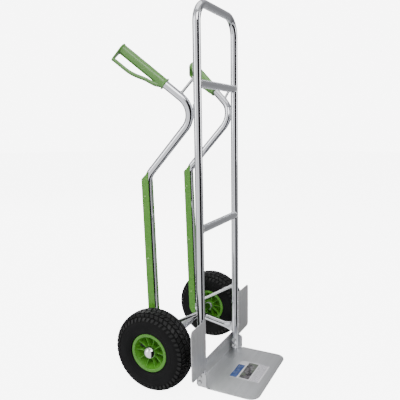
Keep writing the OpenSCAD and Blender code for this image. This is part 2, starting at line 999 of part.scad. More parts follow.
front_frame();
upper_crossbar();
middle_crossbar();
left_side_tube();
right_side_tube();
left_handle_rod();
right_handle_rod();
left_leg_brace();
right_leg_brace();
left_skid();
right_skid();
left_skid_rivets();
right_skid_rivets();
left_grip();
right_grip();
left_wheel_guard();
right_wheel_guard();
toe_plate();
toe_bolts();
toe_washers();
toe_nuts();
label();
axle_tube();
axle_rod();
axle_washers();
split_pins();
left_tyre();
left_inner_tube();
left_rim();
left_bearings();
left_hub_spacer();
left_valve_stem();
left_valve_cap();
left_hub_cap();
tyre();  // right_tyre
inner_tube();  // right_inner_tube
rim();  // right_rim
bearings();  // right_bearings
hub_spacer();  // right_hub_spacer
valve_stem();  // right_valve_stem
valve_cap();  // right_valve_cap
hub_cap();  // right_hub_cap
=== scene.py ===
# %% [markdown]
# # An aluminium hand truck
# This lesson dresses a packed CAD model of a hand truck: a bent tube frame, two side tubes
# that end in guarded grips, a folded toe plate, green plastic skids and air-filled wheels.
# The CAD model gives every place and size. Here each visible piece gets the mesh and the
# finish that its maker would give it: swept tubes, folded sheet, moulded plastic, rubber.

# %% Load the packed model
import math

import bmesh
import bpy
from mathutils import Matrix, Vector


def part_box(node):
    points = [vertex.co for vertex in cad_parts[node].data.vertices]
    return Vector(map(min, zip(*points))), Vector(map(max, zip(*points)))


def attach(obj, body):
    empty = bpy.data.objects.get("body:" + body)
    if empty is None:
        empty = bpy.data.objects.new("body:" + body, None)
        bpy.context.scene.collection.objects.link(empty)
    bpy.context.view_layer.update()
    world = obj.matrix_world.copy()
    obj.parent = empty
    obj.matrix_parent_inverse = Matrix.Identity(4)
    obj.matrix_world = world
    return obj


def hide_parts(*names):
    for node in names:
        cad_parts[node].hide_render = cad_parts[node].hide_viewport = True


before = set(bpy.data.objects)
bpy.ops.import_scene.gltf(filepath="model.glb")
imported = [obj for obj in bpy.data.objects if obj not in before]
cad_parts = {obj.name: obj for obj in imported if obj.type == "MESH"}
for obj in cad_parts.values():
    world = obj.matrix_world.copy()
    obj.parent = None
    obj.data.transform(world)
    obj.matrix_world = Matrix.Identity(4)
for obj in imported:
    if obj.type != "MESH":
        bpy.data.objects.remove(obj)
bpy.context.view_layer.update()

scene = bpy.context.scene

# %% [markdown]
# ## Sizes
# The main sizes repeat those of the CAD model, in metres. What the packed nodes can tell is
# measured from their boxes: the wheels, the toe plate, the label, the axle tube and the frame's
# feet.

# %% Main sizes
FRAME_H, FRAME_W, LEAN = 1.196, 0.288, math.radians(0.8)
TUBE_R, TUBE_WALL, TOP_BEND_R = 0.0125, 0.002, 0.060
UPPER_BAR_Z, MIDDLE_BAR_Z = 0.952, 0.510
CONTACT_Z, KNEE_Y, KNEE_Z, LEG_LEAN = 0.870, 0.191, 0.668, math.radians(2.2)
KNEE_BEND_R, CONTACT_BEND_R, AXLE_BEND_R = 0.060, 0.065, 0.040
STRUT_FALL, STRUT_FLAT_H, STRUT_FLAT_T, STRUT_CRUSH_L = math.radians(10.5), 0.035, 0.005, 0.034
SPLAY, RISE = math.radians(23), math.radians(39)
GRIP_FROM, GRIP_L, GRIP_IN_END = 0.124, 0.166, 0.010
WELD_GAP = 0.0002
SIDE_X = FRAME_W / 2


def middle(node):
    """Middle of a node's box."""
    low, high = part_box(node)
    return (low + high) / 2


wheel_low, wheel_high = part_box("right_tyre")
WHEEL_AT = middle("right_tyre")
WHEEL_R = (wheel_high.z - wheel_low.z) / 2
TYRE_HALF = (wheel_high.x - wheel_low.x) / 2
print("wheel centre", WHEEL_AT, "radius", round(WHEEL_R, 4))

# %% [markdown]
# ## Corner points
# A bent tube is known by the corners of its centre line. The straight runs have directions,
# so each corner is worked out where two runs cross, which keeps the tubes touching.

# %% Corner points of the bent tubes


TURN = 2 * math.pi


def unit(v):
    return v.normalized()


def upright_point(s, side=1):
    """Point on an upright's leaning centre line, s from the floor."""
    return Vector((side * SIDE_X, s * math.sin(LEAN), s * math.cos(LEAN)))


strut_dir = Vector((0, math.cos(STRUT_FALL), math.sin(STRUT_FALL)))
leg_dir = Vector((0, math.sin(LEG_LEAN), math.cos(LEG_LEAN)))
handle_dir = Vector((math.sin(SPLAY) * math.cos(RISE), math.cos(SPLAY) * math.cos(RISE),
                     math.sin(RISE)))
knee = Vector((SIDE_X, KNEE_Y, KNEE_Z))
under_axle = Vector((SIDE_X, WHEEL_AT.y + (2 * TUBE_R + WELD_GAP) * math.sin(STRUT_FALL),
                     WHEEL_AT.z - (2 * TUBE_R + WELD_GAP) * math.cos(STRUT_FALL)))
heel_at = ((knee.y - under_axle.y) * leg_dir.z - (knee.z - under_axle.z) * leg_dir.y) / (
    strut_dir.y * leg_dir.z - strut_dir.z * leg_dir.y)
heel = under_axle + heel_at * strut_dir


def contact_y(rise):
    """Place of the handle bend's corner, so that the bend's outside meets the upright."""
    u = Vector((0, -math.cos(rise), math.sin(rise)))
    inward, normal = unit(handle_dir - u), unit(u.cross(handle_dir))
    clear = inward.y / math.cos(u.angle(handle_dir) / 2) - math.sqrt(1 - normal.y ** 2)
    return CONTACT_Z * math.tan(LEAN) + 2 * TUBE_R + WELD_GAP - CONTACT_BEND_R * clear


diagonal_rise = math.atan2(CONTACT_Z - KNEE_Z, KNEE_Y - contact_y(math.radians(48)))
contact = Vector((SIDE_X, contact_y(diagonal_rise), CONTACT_Z))
tip_y = under_axle.z * math.sin(LEAN) + TUBE_R
strut_tip = under_axle - strut_dir * ((under_axle.y - tip_y) / strut_dir.y)
crush_from = strut_tip + strut_dir * STRUT_CRUSH_L
handle_end = contact + handle_dir * (GRIP_FROM + GRIP_L - GRIP_IN_END)
print("heel", heel, "contact", contact)

# %% [markdown]
# ## A helper for node trees
# Floor, sky, finishes and repeated shapes are all node trees. Adding nodes by hand and
# linking them one by one hides what a tree does, so a small class adds a node, fills its
# inputs and links it in one line. Mixing, ramps and noise get a short name each.

# %% Node tree helper


class Tree:
    """Adds nodes to a tree, and links them as they are added."""

    def __init__(self, tree):
        self.tree = tree

    def add(self, kind, settings=None, **inputs):
        node = self.tree.nodes.new(kind)
        for name, value in (settings or {}).items():
            setattr(node, name, value)
        for name, value in inputs.items():
            self.put(node, name.replace("_", " "), value)
        return node

    def put(self, node, name, value):
        socket = node.inputs[int(name[1:])] if name[0] == "#" else node.inputs[name]
        if hasattr(value, "is_output"):
            self.tree.links.new(value, socket)
        else:
            socket.default_value = value

    def math(self, operation, a, b=0.0, clamp=False):
        node = self.tree.nodes.new("ShaderNodeMath")
        node.operation, node.use_clamp = operation, clamp
        self.put(node, "#0", a)
        self.put(node, "#1", b)
        return node.outputs[0]

    def ramp(self, value, low, high, to_low=0.0, to_high=1.0):
        node = self.tree.nodes.new("ShaderNodeMapRange")
        node.interpolation_type = "SMOOTHSTEP"
        for name, v in (("Value", value), ("From Min", low), ("From Max", high),
                        ("To Min", to_low), ("To Max", to_high)):
            self.put(node, name, v)
        return node.outputs["Result"]

    def noise(self, vector, scale, detail=3.0, roughness=0.5):
        node = self.add("ShaderNodeTexNoise", None, Vector=vector, Scale=scale, Detail=detail,
                        Roughness=roughness)
        return node.outputs["Fac"]

    def stretch(self, vector, scale, turn=(0, 0, 0)):
        node = self.add("ShaderNodeMapping", None, Vector=vector)
        node.inputs["Scale"].default_value = scale
        node.inputs["Rotation"].default_value = turn
        return node.outputs[0]

    def mix(self, factor, a, b):
        node = self.add("ShaderNodeMix", {"data_type": "RGBA"})
        self.put(node, "#0", factor)
        self.put(node, "#6", a)
        self.put(node, "#7", b)
        return node.outputs[2]


print("helper for node trees:", Tree.__doc__)

# %% [markdown]
# ## Camera
# The camera stands at the load side's left, a little above the middle of the frame, and
# looks slightly down. Its turn is built from three plain rotations, because that keeps the
# heading, the tilt and the small roll apart, where a look-at target would hide the roll.

# %% Camera
camera_data = bpy.data.cameras.new("camera")
camera_data.sensor_width = 36
camera_data.lens = 42.905
camera = bpy.data.objects.new("camera", camera_data)
camera.location = (-1.42974, -0.62138, 0.83181)
look = (Matrix.Rotation(math.radians(-63.999), 3, "Z")
        @ Matrix.Rotation(math.radians(90 - 9.016), 3, "X")
        @ Matrix.Rotation(math.radians(-0.163), 3, "Z"))
camera.rotation_euler = look.to_euler()
scene.collection.objects.link(camera)
scene.camera = camera
print("camera lens:", camera_data.lens, "mm")

# %% [markdown]
# ## Floor
# The truck stands on a plain pale floor. The camera sees it bright, as paper under studio
# light is. A floor this bright would wash out the metal from below, so other rays see a
# darker tone, and mirror-like reflections pass through it to the surroundings.

# %% Floor
FLOOR_R, FLOOR_GLOW = 14, 6.5
FLOOR_SEEN, FLOOR_UNSEEN = (0.93, 0.93, 0.93, 1), (0.26, 0.26, 0.27, 1)
floor_mesh = bpy.data.meshes.new("floor")
floor_bm = bmesh.new()
bmesh.ops.create_circle(floor_bm, cap_ends=True, segments=96, radius=FLOOR_R)
floor_bm.to_mesh(floor_mesh)
floor_bm.free()
floor = bpy.data.objects.new("floor", floor_mesh)
scene.collection.objects.link(floor)
floor_look = bpy.data.materials.new("pale_floor")
floor_look.use_nodes = True
t = Tree(floor_look.node_tree)
shader = t.tree.nodes["Principled BSDF"]
rays = t.add("ShaderNodeLightPath").outputs
for label, value in (("Roughness", 0.9), ("Specular IOR Level", 0.1),
                     ("Emission Color", (1, 1, 1, 1)),
                     ("Base Color", t.mix(rays["Is Camera Ray"], FLOOR_UNSEEN, FLOOR_SEEN)),
                     ("Emission Strength", t.math("MULTIPLY", rays["Is Camera Ray"], FLOOR_GLOW))):
    t.put(shader, label, value)
either = t.add("ShaderNodeMixShader")
for socket, value in (("#0", rays["Is Glossy Ray"]), ("#1", shader.outputs[0]),
                      ("#2", t.add("ShaderNodeBsdfTransparent").outputs[0])):
    t.put(either, socket, value)
t.put(t.tree.nodes["Material Output"], "Surface", either.outputs[0])
floor_mesh.materials.append(floor_look)
print("floor radius:", FLOOR_R)

# %% [markdown]
# ## Studio light
# Five large soft lights stand round the truck and over it. Area lights give soft shadows
# because they are large, and their sizes and powers are the only things that differ, so one
# function makes them all.

# %% Soft boxes


def soft_box(name, place, target, size, power):
    """Rectangular area light at a place, turned towards a target."""
    light = bpy.data.lights.new(name, "AREA")
    light.shape = "RECTANGLE"
    light.size, light.size_y = size
    light.energy = power
    lamp = bpy.data.objects.new(name, light)
    lamp.location = place
    lamp.rotation_euler = (Vector(target) - Vector(place)).to_track_quat("-Z", "Y").to_euler()
    scene.collection.objects.link(lamp)


soft_box("key_light", (-2.6, -2.4, 3.4), (0, 0, 0.5), (2.2, 2.2), 70)
soft_box("side_light", (-2.8, 2.2, 1.8), (0, 0.1, 0.6), (1.0, 2.4), 30)
soft_box("front_light", (1.4, -3.2, 1.6), (0, 0, 0.5), (1.2, 2.4), 34)
soft_box("back_light", (2.2, 2.8, 2.4), (0, 0, 0.6), (1.6, 2.2), 34)
soft_box("top_light", (0, 0, 4.2), (0, 0, 0), (3.0, 3.0), 40)
print("lights:", len(bpy.data.lights))

# %% [markdown]
# ## Surroundings
# Polished tube mirrors what stands round it, so it shows streaks only if the surroundings
# have light and dark parts. A ramp round the compass gives upright soft boxes with dark gaps,
# and high up it turns to one plain tone. The camera itself sees a plain bright sky.

# %% Surroundings that the metal mirrors
SKY_SEEN, SKY_LIGHT, OVERHEAD = 7.5, 0.54, (1.1, 1.1, 1.12, 1)
BOX_STOPS = [(0.00, 2.20), (0.07, 2.60), (0.115, 0.05), (0.16, 0.015), (0.25, 0.02),
             (0.275, 1.30), (0.315, 1.50), (0.345, 0.25), (0.41, 0.50), (0.45, 0.70),
             (0.52, 0.90), (0.57, 1.60), (0.64, 1.20), (0.69, 0.12), (0.74, 0.20),
             (0.79, 1.60), (0.88, 2.80), (1.00, 2.20)]
world = bpy.data.worlds.new("studio")
scene.world = world
world.use_nodes = True
t = Tree(world.node_tree)
t.tree.nodes.clear()
ray = t.add("ShaderNodeSeparateXYZ", None,
            Vector=t.add("ShaderNodeTexCoord").outputs["Generated"]).outputs
compass = t.add("ShaderNodeMapRange", None, Value=t.math("ARCTAN2", ray["Y"], ray["X"]),
                From_Min=-math.pi, From_Max=math.pi)
boxes = t.add("ShaderNodeValToRGB", None, Fac=compass.outputs["Result"])
boxes.color_ramp.interpolation = "EASE"
while len(boxes.color_ramp.elements) < len(BOX_STOPS):
    boxes.color_ramp.elements.new(0.5)
for stop, (place, tone) in zip(boxes.color_ramp.elements, BOX_STOPS):
    stop.position = place
    stop.color = (tone, tone, tone * 1.02, 1)
mirrored = t.mix(t.ramp(ray["Z"], 0.45, 0.85), boxes.outputs["Color"], OVERHEAD)
lit = t.add("ShaderNodeBackground", None, Color=mirrored, Strength=SKY_LIGHT)
seen = t.add("ShaderNodeBackground", None, Color=(1, 1, 1, 1), Strength=SKY_SEEN)
either = t.add("ShaderNodeMixShader")
for socket, value in (("#0", t.add("ShaderNodeLightPath").outputs["Is Camera Ray"]),
                      ("#1", lit.outputs[0]), ("#2", seen.outputs[0])):
    t.put(either, socket, value)
t.add("ShaderNodeOutputWorld", None, Surface=either.outputs[0])
print("soft boxes and gaps in the surroundings:", len(BOX_STOPS))

# %% [markdown]
# ## Shared effects
# Four effects come back in many finishes, so each is a shader node group with its own
# inputs: lines that drawing or rolling leaves in metal, cloudy smudges from handling, thin
# crossing scratches, and the fine grain of a mould. A group gives out masks and heights
# only, and each material decides what they do to its colour, roughness and bump.

# %% Empty shader group


def effect_group(name, inputs, outputs):
    """Empty shader group with named float or vector inputs and float outputs."""
    group = bpy.data.node_groups.new(name, "ShaderNodeTree")
    group.interface.new_socket("Vector", in_out="INPUT", socket_type="NodeSocketVector")
    for label, value in inputs.items():
        socket = group.interface.new_socket(label, in_out="INPUT", socket_type="NodeSocketFloat")
        socket.default_value = value
    for label in outputs:
        group.interface.new_socket(label, in_out="OUTPUT", socket_type="NodeSocketFloat")
    start = group.nodes.new("NodeGroupInput")
    end = group.nodes.new("NodeGroupOutput")
    return group, Tree(group), start.outputs, end.inputs


# %% Draw lines
draw_lines, t, given, made = effect_group("draw_lines", {"Scale": 900.0}, ["Lines", "Bands"])
fine = t.noise(t.stretch(given["Vector"], (1, 0.004, 1)), given["Scale"], 2.0, 0.6)
wide = t.noise(t.stretch(given["Vector"], (1, 0.012, 1)), t.math("MULTIPLY", given["Scale"], 0.18),
               2.0, 0.5)
t.tree.links.new(t.ramp(fine, 0.3, 0.7), made["Lines"])
t.tree.links.new(t.ramp(wide, 0.35, 0.65), made["Bands"])
print("shader group:", draw_lines.name)

# %% Smudges
smudges, t, given, made = effect_group("smudges", {"Scale": 14.0, "Amount": 0.5}, ["Mask"])
large = t.noise(given["Vector"], given["Scale"], 4.0, 0.62)
small = t.noise(given["Vector"], t.math("MULTIPLY", given["Scale"], 5.3), 3.0, 0.6)
cloud = t.math("ADD", t.math("MULTIPLY", large, 0.7), t.math("MULTIPLY", small, 0.3))
edge = t.math("SUBTRACT", 0.72, t.math("MULTIPLY", given["Amount"], 0.3))
t.tree.links.new(t.ramp(cloud, edge, t.math("ADD", edge, 0.16)), made["Mask"])
print("shader group:", smudges.name)

# %% Scratches
scratches, t, given, made = effect_group("scratches", {"Scale": 30.0, "Amount": 0.5}, ["Mask"])
masks = []
for turn, length, seed in ((0.5, 0.05, 0.0), (-0.9, 0.08, 3.7), (2.1, 0.06, 8.1)):
    bent = t.add("ShaderNodeVectorMath", {"operation": "ADD"})
    t.put(bent, "#0", given["Vector"])
    bent.inputs[1].default_value = (seed, seed * 0.7, seed * 1.3)
    lines = t.noise(t.stretch(bent.outputs[0], (1, length, 1), (0.3 * turn, 0.2, turn)),
                    t.math("MULTIPLY", given["Scale"], 9.0), 1.0, 0.4)
    where = t.noise(bent.outputs[0], given["Scale"], 1.0)
    thin = t.ramp(t.math("ABSOLUTE", t.math("SUBTRACT", lines, 0.5)), 0.0, 0.02, 1.0, 0.0)
    masks.append(t.math("MULTIPLY", thin, t.ramp(where, 0.5, 0.66)))
total = t.math("ADD", t.math("ADD", masks[0], masks[1]), masks[2], clamp=True)
t.tree.links.new(t.math("MULTIPLY", total, given["Amount"], clamp=True), made["Mask"])
print("shader group:", scratches.name, "with", len(masks), "directions")

# %% Moulded grain
mould_grain, t, given, made = effect_group("mould_grain", {"Scale": 900.0}, ["Height", "Flow"])
grain = t.add("ShaderNodeTexVoronoi", {"feature": "SMOOTH_F1"}, Vector=given["Vector"],
              Scale=given["Scale"])
ripple = t.noise(given["Vector"], t.math("MULTIPLY", given["Scale"], 0.05), 3.0, 0.5)
t.tree.links.new(t.math("ADD", t.math("MULTIPLY", grain.outputs["Distance"], 0.7),
                        t.math("MULTIPLY", ripple, 0.5)), made["Height"])
t.tree.links.new(t.ramp(ripple, 0.3, 0.7), made["Flow"])
print("shader groups:", [g.name for g in bpy.data.node_groups])

# %% [markdown]
# ## Finishes
# Each finish is a Principled shader. Metal has no paint here: what changes from tube to
# sheet to weld is how rough it is, which way its lines run and how it has been handled.
# Numbers that are the same all over are set on the shader's own sockets.

# %% Material helper


def finish(name, **constants):
    """New material with a Principled shader, its tree helper and its object coordinates."""
    material = bpy.data.materials.new(name)
    material.use_nodes = True
    tree = Tree(material.node_tree)
    shader = material.node_tree.nodes["Principled BSDF"]
    for label, value in constants.items():
        shader.inputs[label.replace("_", " ")].default_value = value
    coord = tree.add("ShaderNodeTexCoord")
    return material, tree, shader, coord.outputs["Object"]


def use(tree, group, vector, **inputs):
    """Places a shared effect in a material."""
    node = tree.add("ShaderNodeGroup", {"node_tree": group})
    tree.put(node, "Vector", vector)
    for label, value in inputs.items():
        node.inputs[label].default_value = value
    return node.outputs


def bump(tree, shader, height, strength, distance):
    """Turns a height into the shader's normal."""
    node = tree.add("ShaderNodeBump", None, Height=height)
    node.inputs["Strength"].default_value = strength
    node.inputs["Distance"].default_value = distance
    tree.tree.links.new(node.outputs[0], shader.inputs["Normal"])


# %% [markdown]
# ## Metal
# Drawn tube, rolled sheet and plated bolts are all bare metal with lines from their making.
# A UV map carries the lines round a bend, and flat sheet can take them from its own axes. One
# function with a few inputs makes every metal, so that they look like one family.

# %% Metal finishes


def metal(name, colour, rough_low, rough_high, lines=900.0, lay="uv", smudge=0.4, scratch=0.4,
          line_bump=0.15, tint=(0.60, 0.60, 0.58)):
    """Bare metal with draw lines along its length, smudges and scratches."""
    material, t, shader, place = finish(name, Metallic=1.0)
    if lay == "uv":
        along = t.add("ShaderNodeUVMap", {"uv_map": "lay"}).outputs[0]
    else:
        along = t.stretch(place, (1, 1, 1), lay)
    drawn = use(t, draw_lines, along, Scale=lines)
    dirt = use(t, smudges, place, Scale=17.0, Amount=smudge)["Mask"]
    marks = use(t, scratches, place, Scale=26.0, Amount=scratch)["Mask"]
    shade = t.ramp(drawn["Bands"], 0.0, 1.0, 0.0, 0.35)
    base = t.mix(shade, (*colour, 1), (*[c * 0.86 for c in colour], 1))
    base = t.mix(t.math("MULTIPLY", dirt, 0.35), base, (*tint, 1))
    base = t.mix(t.math("MULTIPLY", marks, 0.25), base, (0.93, 0.93, 0.93, 1))
    t.tree.links.new(base, shader.inputs["Base Color"])
    rough = t.ramp(drawn["Lines"], 0.0, 1.0, rough_low, rough_high)
    rough = t.math("ADD", rough, t.math("MULTIPLY", dirt, 0.12))
    rough = t.math("ADD", rough, t.math("MULTIPLY", marks, 0.15), clamp=True)
    t.tree.links.new(rough, shader.inputs["Roughness"])
    height = t.math("SUBTRACT", drawn["Lines"], t.math("MULTIPLY", marks, 1.5))
    bump(t, shader, height, line_bump, 0.0002)
    return material


polished_tube = metal("polished_tube", (0.74, 0.75, 0.78), 0.07, 0.15, smudge=0.3, scratch=0.35,
                      line_bump=0.06)
drawn_rod = metal("drawn_rod", (0.78, 0.79, 0.80), 0.20, 0.32, smudge=0.35, line_bump=0.08)
rolled_sheet = metal("rolled_sheet", (0.66, 0.67, 0.68), 0.34, 0.44, lines=700.0,
                     lay=(0, 0, math.pi / 2), smudge=0.5, scratch=0.7, line_bump=0.10)
guard_sheet = metal("guard_sheet", (0.74, 0.745, 0.75), 0.36, 0.48, lines=700.0,
                    lay=(math.pi / 2, 0, 0), smudge=0.35, scratch=0.5, line_bump=0.10)
zinc_plate = metal("zinc_plate", (0.62, 0.63, 0.64), 0.22, 0.36, lines=500.0, lay=(0, 0, 0),
                   smudge=0.6, scratch=0.3, line_bump=0.05, tint=(0.42, 0.40, 0.34))
bearing_steel = metal("bearing_steel", (0.55, 0.56, 0.58), 0.18, 0.30, lines=500.0,
                      lay=(0, 0, 0), smudge=0.7, scratch=0.2, tint=(0.20, 0.18, 0.14))
chrome_cap = metal("chrome_cap", (0.88, 0.89, 0.90), 0.035, 0.06, lines=300.0, lay=(0, 0, 0),
                   smudge=0.2, scratch=0.25, line_bump=0.01)
print("materials so far:", len(bpy.data.materials))

# %% [markdown]
# ## Weld metal
# A weld bead is duller than the tube, sooty in places and rough all over. It has no drawn
# lines, so it gets a short tree of its own with only the smudges and a fine bump.

# %% Weld metal
weld_metal, t, shader, place = finish("weld_metal", Metallic=1.0)
soot = use(t, smudges, place, Scale=60.0, Amount=0.8)["Mask"]
t.tree.links.new(t.mix(soot, (0.80, 0.81, 0.82, 1), (0.48, 0.47, 0.45, 1)),
                 shader.inputs["Base Color"])
t.tree.links.new(t.ramp(soot, 0.0, 1.0, 0.26, 0.5), shader.inputs["Roughness"])
bump(t, shader, t.noise(place, 1500.0, 3.0), 0.25, 0.0003)
print("material:", weld_metal.name)

# %% [markdown]
# ## Plastic
# Skids, rims and grips are moulded in green plastic, with a fine grain from the mould and
# pale scratches from use. The grips' paler, less saturated green is a painted reflection of the
# bright sky, and a thin clear coat gives them a thin sheen.

# %% Green plastic


def plastic(name, dark, light, worn, coat=0.0):
    """Moulded plastic with a fine grain, light scratches and hazy patches."""
    material, t, shader, place = finish(name, IOR=1.49, Coat_Weight=coat, Coat_Roughness=0.12)
    grain = use(t, mould_grain, place, Scale=1400.0)
    rub = use(t, scratches, place, Scale=22.0, Amount=0.9)["Mask"]
    haze = use(t, smudges, place, Scale=21.0, Amount=0.5)["Mask"]
    base = t.mix(grain["Flow"], (*dark, 1), (*light, 1))
    base = t.mix(t.math("MULTIPLY", haze, 0.18), base, (0.20, 0.38, 0.08, 1))
    base = t.mix(t.math("MULTIPLY", rub, 0.45), base, (*worn, 1))
    t.tree.links.new(base, shader.inputs["Base Color"])
    rough = t.math("ADD", t.ramp(grain["Flow"], 0.0, 1.0, 0.25, 0.34),
                   t.math("MULTIPLY", haze, 0.14))
    rough = t.math("ADD", rough, t.math("MULTIPLY", rub, 0.2), clamp=True)
    t.tree.links.new(rough, shader.inputs["Roughness"])
    bump(t, shader, t.math("SUBTRACT", grain["Height"], rub), 0.03, 0.0002)
    return material


green_plastic = plastic("green_plastic", (0.085, 0.310, 0.022), (0.098, 0.345, 0.026),
                        (0.30, 0.52, 0.16))
# Paler, greyer green for the grips: a painted reflection of the sky. The coat is a real clear coat.
grip_sky_reflection_plastic = plastic("grip_sky_reflection_plastic", (0.120, 0.330, 0.055), (0.135, 0.360, 0.065),
                       (0.34, 0.55, 0.24), 0.5)
# Lighter copy of the green for the rivet heads: a painted highlight on the small domes.
rivet_highlight_plastic = plastic("rivet_highlight_plastic", (0.260, 0.560, 0.120), (0.290, 0.600, 0.140),
                        (0.45, 0.70, 0.30), 0.3)
print("plastics:", green_plastic.name, grip_sky_reflection_plastic.name, rivet_highlight_plastic.name)

# %% [markdown]
# ## Rubber
# Tyre rubber is nearly black and spreads what it mirrors. The blocks of the tread catch a
# little more light than the side walls, so they have a finish of their own.

# %% Rubber finishes


def rubber(name, dark, light, rough_low, rough_high, dust=0.5, shine=0.25):
    """Black rubber with a coarse grain and dusty patches."""
    material, t, shader, place = finish(name, IOR=1.5, Specular_IOR_Level=shine)
    grain = use(t, mould_grain, place, Scale=700.0)
    dirt = use(t, smudges, place, Scale=26.0, Amount=dust)["Mask"]
    base = t.mix(grain["Flow"], (*dark, 1), (*light, 1))
    base = t.mix(t.math("MULTIPLY", dirt, 0.30), base, (0.035, 0.034, 0.032, 1))
    t.tree.links.new(base, shader.inputs["Base Color"])
    rough = t.math("ADD", t.ramp(grain["Flow"], 0.0, 1.0, rough_low, rough_high),
                   t.math("MULTIPLY", dirt, 0.12), clamp=True)
    t.tree.links.new(rough, shader.inputs["Roughness"])
    bump(t, shader, grain["Height"], 0.20, 0.0004)
    return material


tyre_rubber = rubber("tyre_rubber", (0.0035, 0.0035, 0.0038), (0.006, 0.006, 0.0062), 0.50, 0.64,
                     shine=0.14)
tread_rubber = rubber("tread_rubber", (0.006, 0.006, 0.0062), (0.010, 0.010, 0.0102), 0.42, 0.58,
                      dust=0.6, shine=0.30)
soft_rubber = rubber("soft_rubber", (0.020, 0.020, 0.021), (0.028, 0.028, 0.029), 0.55, 0.7, 0.3)
valve_black = rubber("valve_black", (0.012, 0.012, 0.013), (0.018, 0.018, 0.020), 0.22, 0.34, 0.3)
print("materials:", len(bpy.data.materials))

# %% [markdown]
# ## Building blocks for the meshes
# Nearly every piece is a skin through rings of points: a tube is a round ring carried along
# a bent line, a wheel is a profile turned about the axle. So one function makes a closed
# skin from rings, and small functions make the rings. Each tube also gets a UV map in
# metres, round and along, so that its draw lines follow every bend.

# %% Meshes from points and faces


def piece(name, verts, faces, material, sharp=35, uvs=None):
    """Closed mesh object in the truck's frame, with smooth shading up to the sharp angle."""
    mesh = bpy.data.meshes.new(name)
    mesh.from_pydata([tuple(v) for v in verts], [], faces)
    if uvs:
        layer = mesh.uv_layers.new(name="lay")
        flat = [c for face in uvs for uv in face for c in uv]
        layer.data.foreach_set("uv", flat)
    bm = bmesh.new()
    bm.from_mesh(mesh)
    bmesh.ops.recalc_face_normals(bm, faces=bm.faces)
    bm.to_mesh(mesh)
    bm.free()
    return placed(name, mesh, material, sharp)


def placed(name, mesh, material, sharp=35):
    """Object for a mesh, with its material and its sharp angle in degrees."""
    mesh.materials.clear()
    mesh.materials.append(material)
    mesh.shade_smooth()
    mesh.set_sharp_from_angle(angle=math.radians(sharp))
    mesh.name = name
    made = bpy.data.objects.new(name, mesh)
    scene.collection.objects.link(made)
    return made


def skin(name, rings, material, closed=False, capped=True, sharp=35, lengths=None, round_l=1.0):
    """Skin through rings of equal size. closed joins the last ring to the first."""
    n = len(rings[0])
    verts = [p for ring in rings for p in ring]
    faces, uvs = [], []
    lengths = lengths or [float(i) * 0.001 for i in range(len(rings) + 1)]
    count = len(rings)
    for i in range(count if closed else count - 1):
        a, b = i * n, ((i + 1) % count) * n
        for j in range(n):
            q = (j + 1) % n
            faces.append((a + j, a + q, b + q, b + j))
            u0, u1 = round_l * j / n, round_l * (j + 1) / n
            v0, v1 = lengths[i], lengths[i + 1]
            uvs.append(((u0, v0), (u1, v0), (u1, v1), (u0, v1)))
    if capped and not closed:
        for start in (0, (count - 1) * n):
            loop = list(range(start, start + n))
            faces.append(tuple(loop))
            uvs.append(tuple((round_l * j / n, 0.0) for j in range(n)))
    return piece(name, verts, faces, material, sharp, uvs)


# %% Bent lines and round rings


def bent_line(points, radii, step=math.radians(5)):
    """(point, direction) pairs along a line of corners, with a bend at each inner corner."""
    line = [(points[0], unit(points[1] - points[0]))]
    for i, r in enumerate(radii):
        u, v = unit(points[i + 1] - points[i]), unit(points[i + 2] - points[i + 1])
        turn = u.angle(v)
        inward = unit(v - u * v.dot(u))
        start = points[i + 1] - u * (r * math.tan(turn / 2))
        steps = max(2, math.ceil(turn / step))
        for s in range(steps + 1):
            a = turn * s / steps
            line.append((start + u * (r * math.sin(a)) + inward * (r * (1 - math.cos(a))),
                         u * math.cos(a) + inward * math.sin(a)))
    line.append((points[-1], unit(points[-1] - points[-2])))
    return line


def ring_frames(line, first):
    """Across and up directions along a line, turning as little as they can."""
    frames, across = [], first
    for _, direction in line:
        across = unit(across - direction * across.dot(direction))
        frames.append((across, direction.cross(across)))
    return frames


def oval(centre, across, up, width, height, sides):
    """Ring of points round a centre."""
    return [centre + across * (width / 2 * math.cos(TURN * j / sides))
            + up * (height / 2 * math.sin(TURN * j / sides)) for j in range(sides)]


def run_lengths(line):
    """Distance of each point from the line's start."""
    out = [0.0]
    for (a, _), (b, _) in zip(line, line[1:]):
        out.append(out[-1] + (b - a).length)
    return out

# %% Hollow tubes and solid bars
LIP = 0.0004             # rounding at a tube's open end


def hollow_tube(name, line, first, r, wall, material, sides=48, lead=None):
    """Tube along a line with an open bore and softly rounded end lips. lead gives rings that
    come before the line, such as a pressed end, which then closes the bore."""
    frames = ring_frames(line, first)
    out_l = run_lengths(line)
    rings, lengths = [], []
    if lead:
        rings += lead
        lengths += [-0.002 * (len(lead) - i) for i in range(len(lead))]

    def add(centre, across, up, radius, at):
        rings.append(oval(centre, across, up, 2 * radius, 2 * radius, sides))
        lengths.append(at)

    for i, ((p, d), (a, u)) in enumerate(zip(line, frames)):
        if i == 0 and not lead:
            add(p, a, u, r - LIP, 0.0)
            add(p + d * LIP, a, u, r, LIP)
        elif i == len(line) - 1:
            add(p - d * LIP, a, u, r, out_l[i] - LIP)
            add(p, a, u, r - LIP, out_l[i])
        else:
            add(p, a, u, r, out_l[i])
    for (p, _), (a, u), at in reversed(list(zip(line, frames, out_l))):
        add(p, a, u, r - wall, 2 * out_l[-1] - at)
    lengths.append(2 * out_l[-1] + 0.003)
    return skin(name, rings, material, closed=not lead, capped=bool(lead), lengths=lengths,
                round_l=TURN * r)


def solid_bar(name, a, b, r, material, sides):
    """Straight round bar from a to b."""
    line = [(a, unit(b - a)), (b, unit(b - a))]
    first = (b - a).orthogonal()
    rings = [oval(p, f[0], f[1], 2 * r, 2 * r, sides) for (p, _), f in
             zip(line, ring_frames(line, first))]
    return skin(name, rings, material, lengths=[0, (b - a).length, (b - a).length],
                round_l=TURN * r)


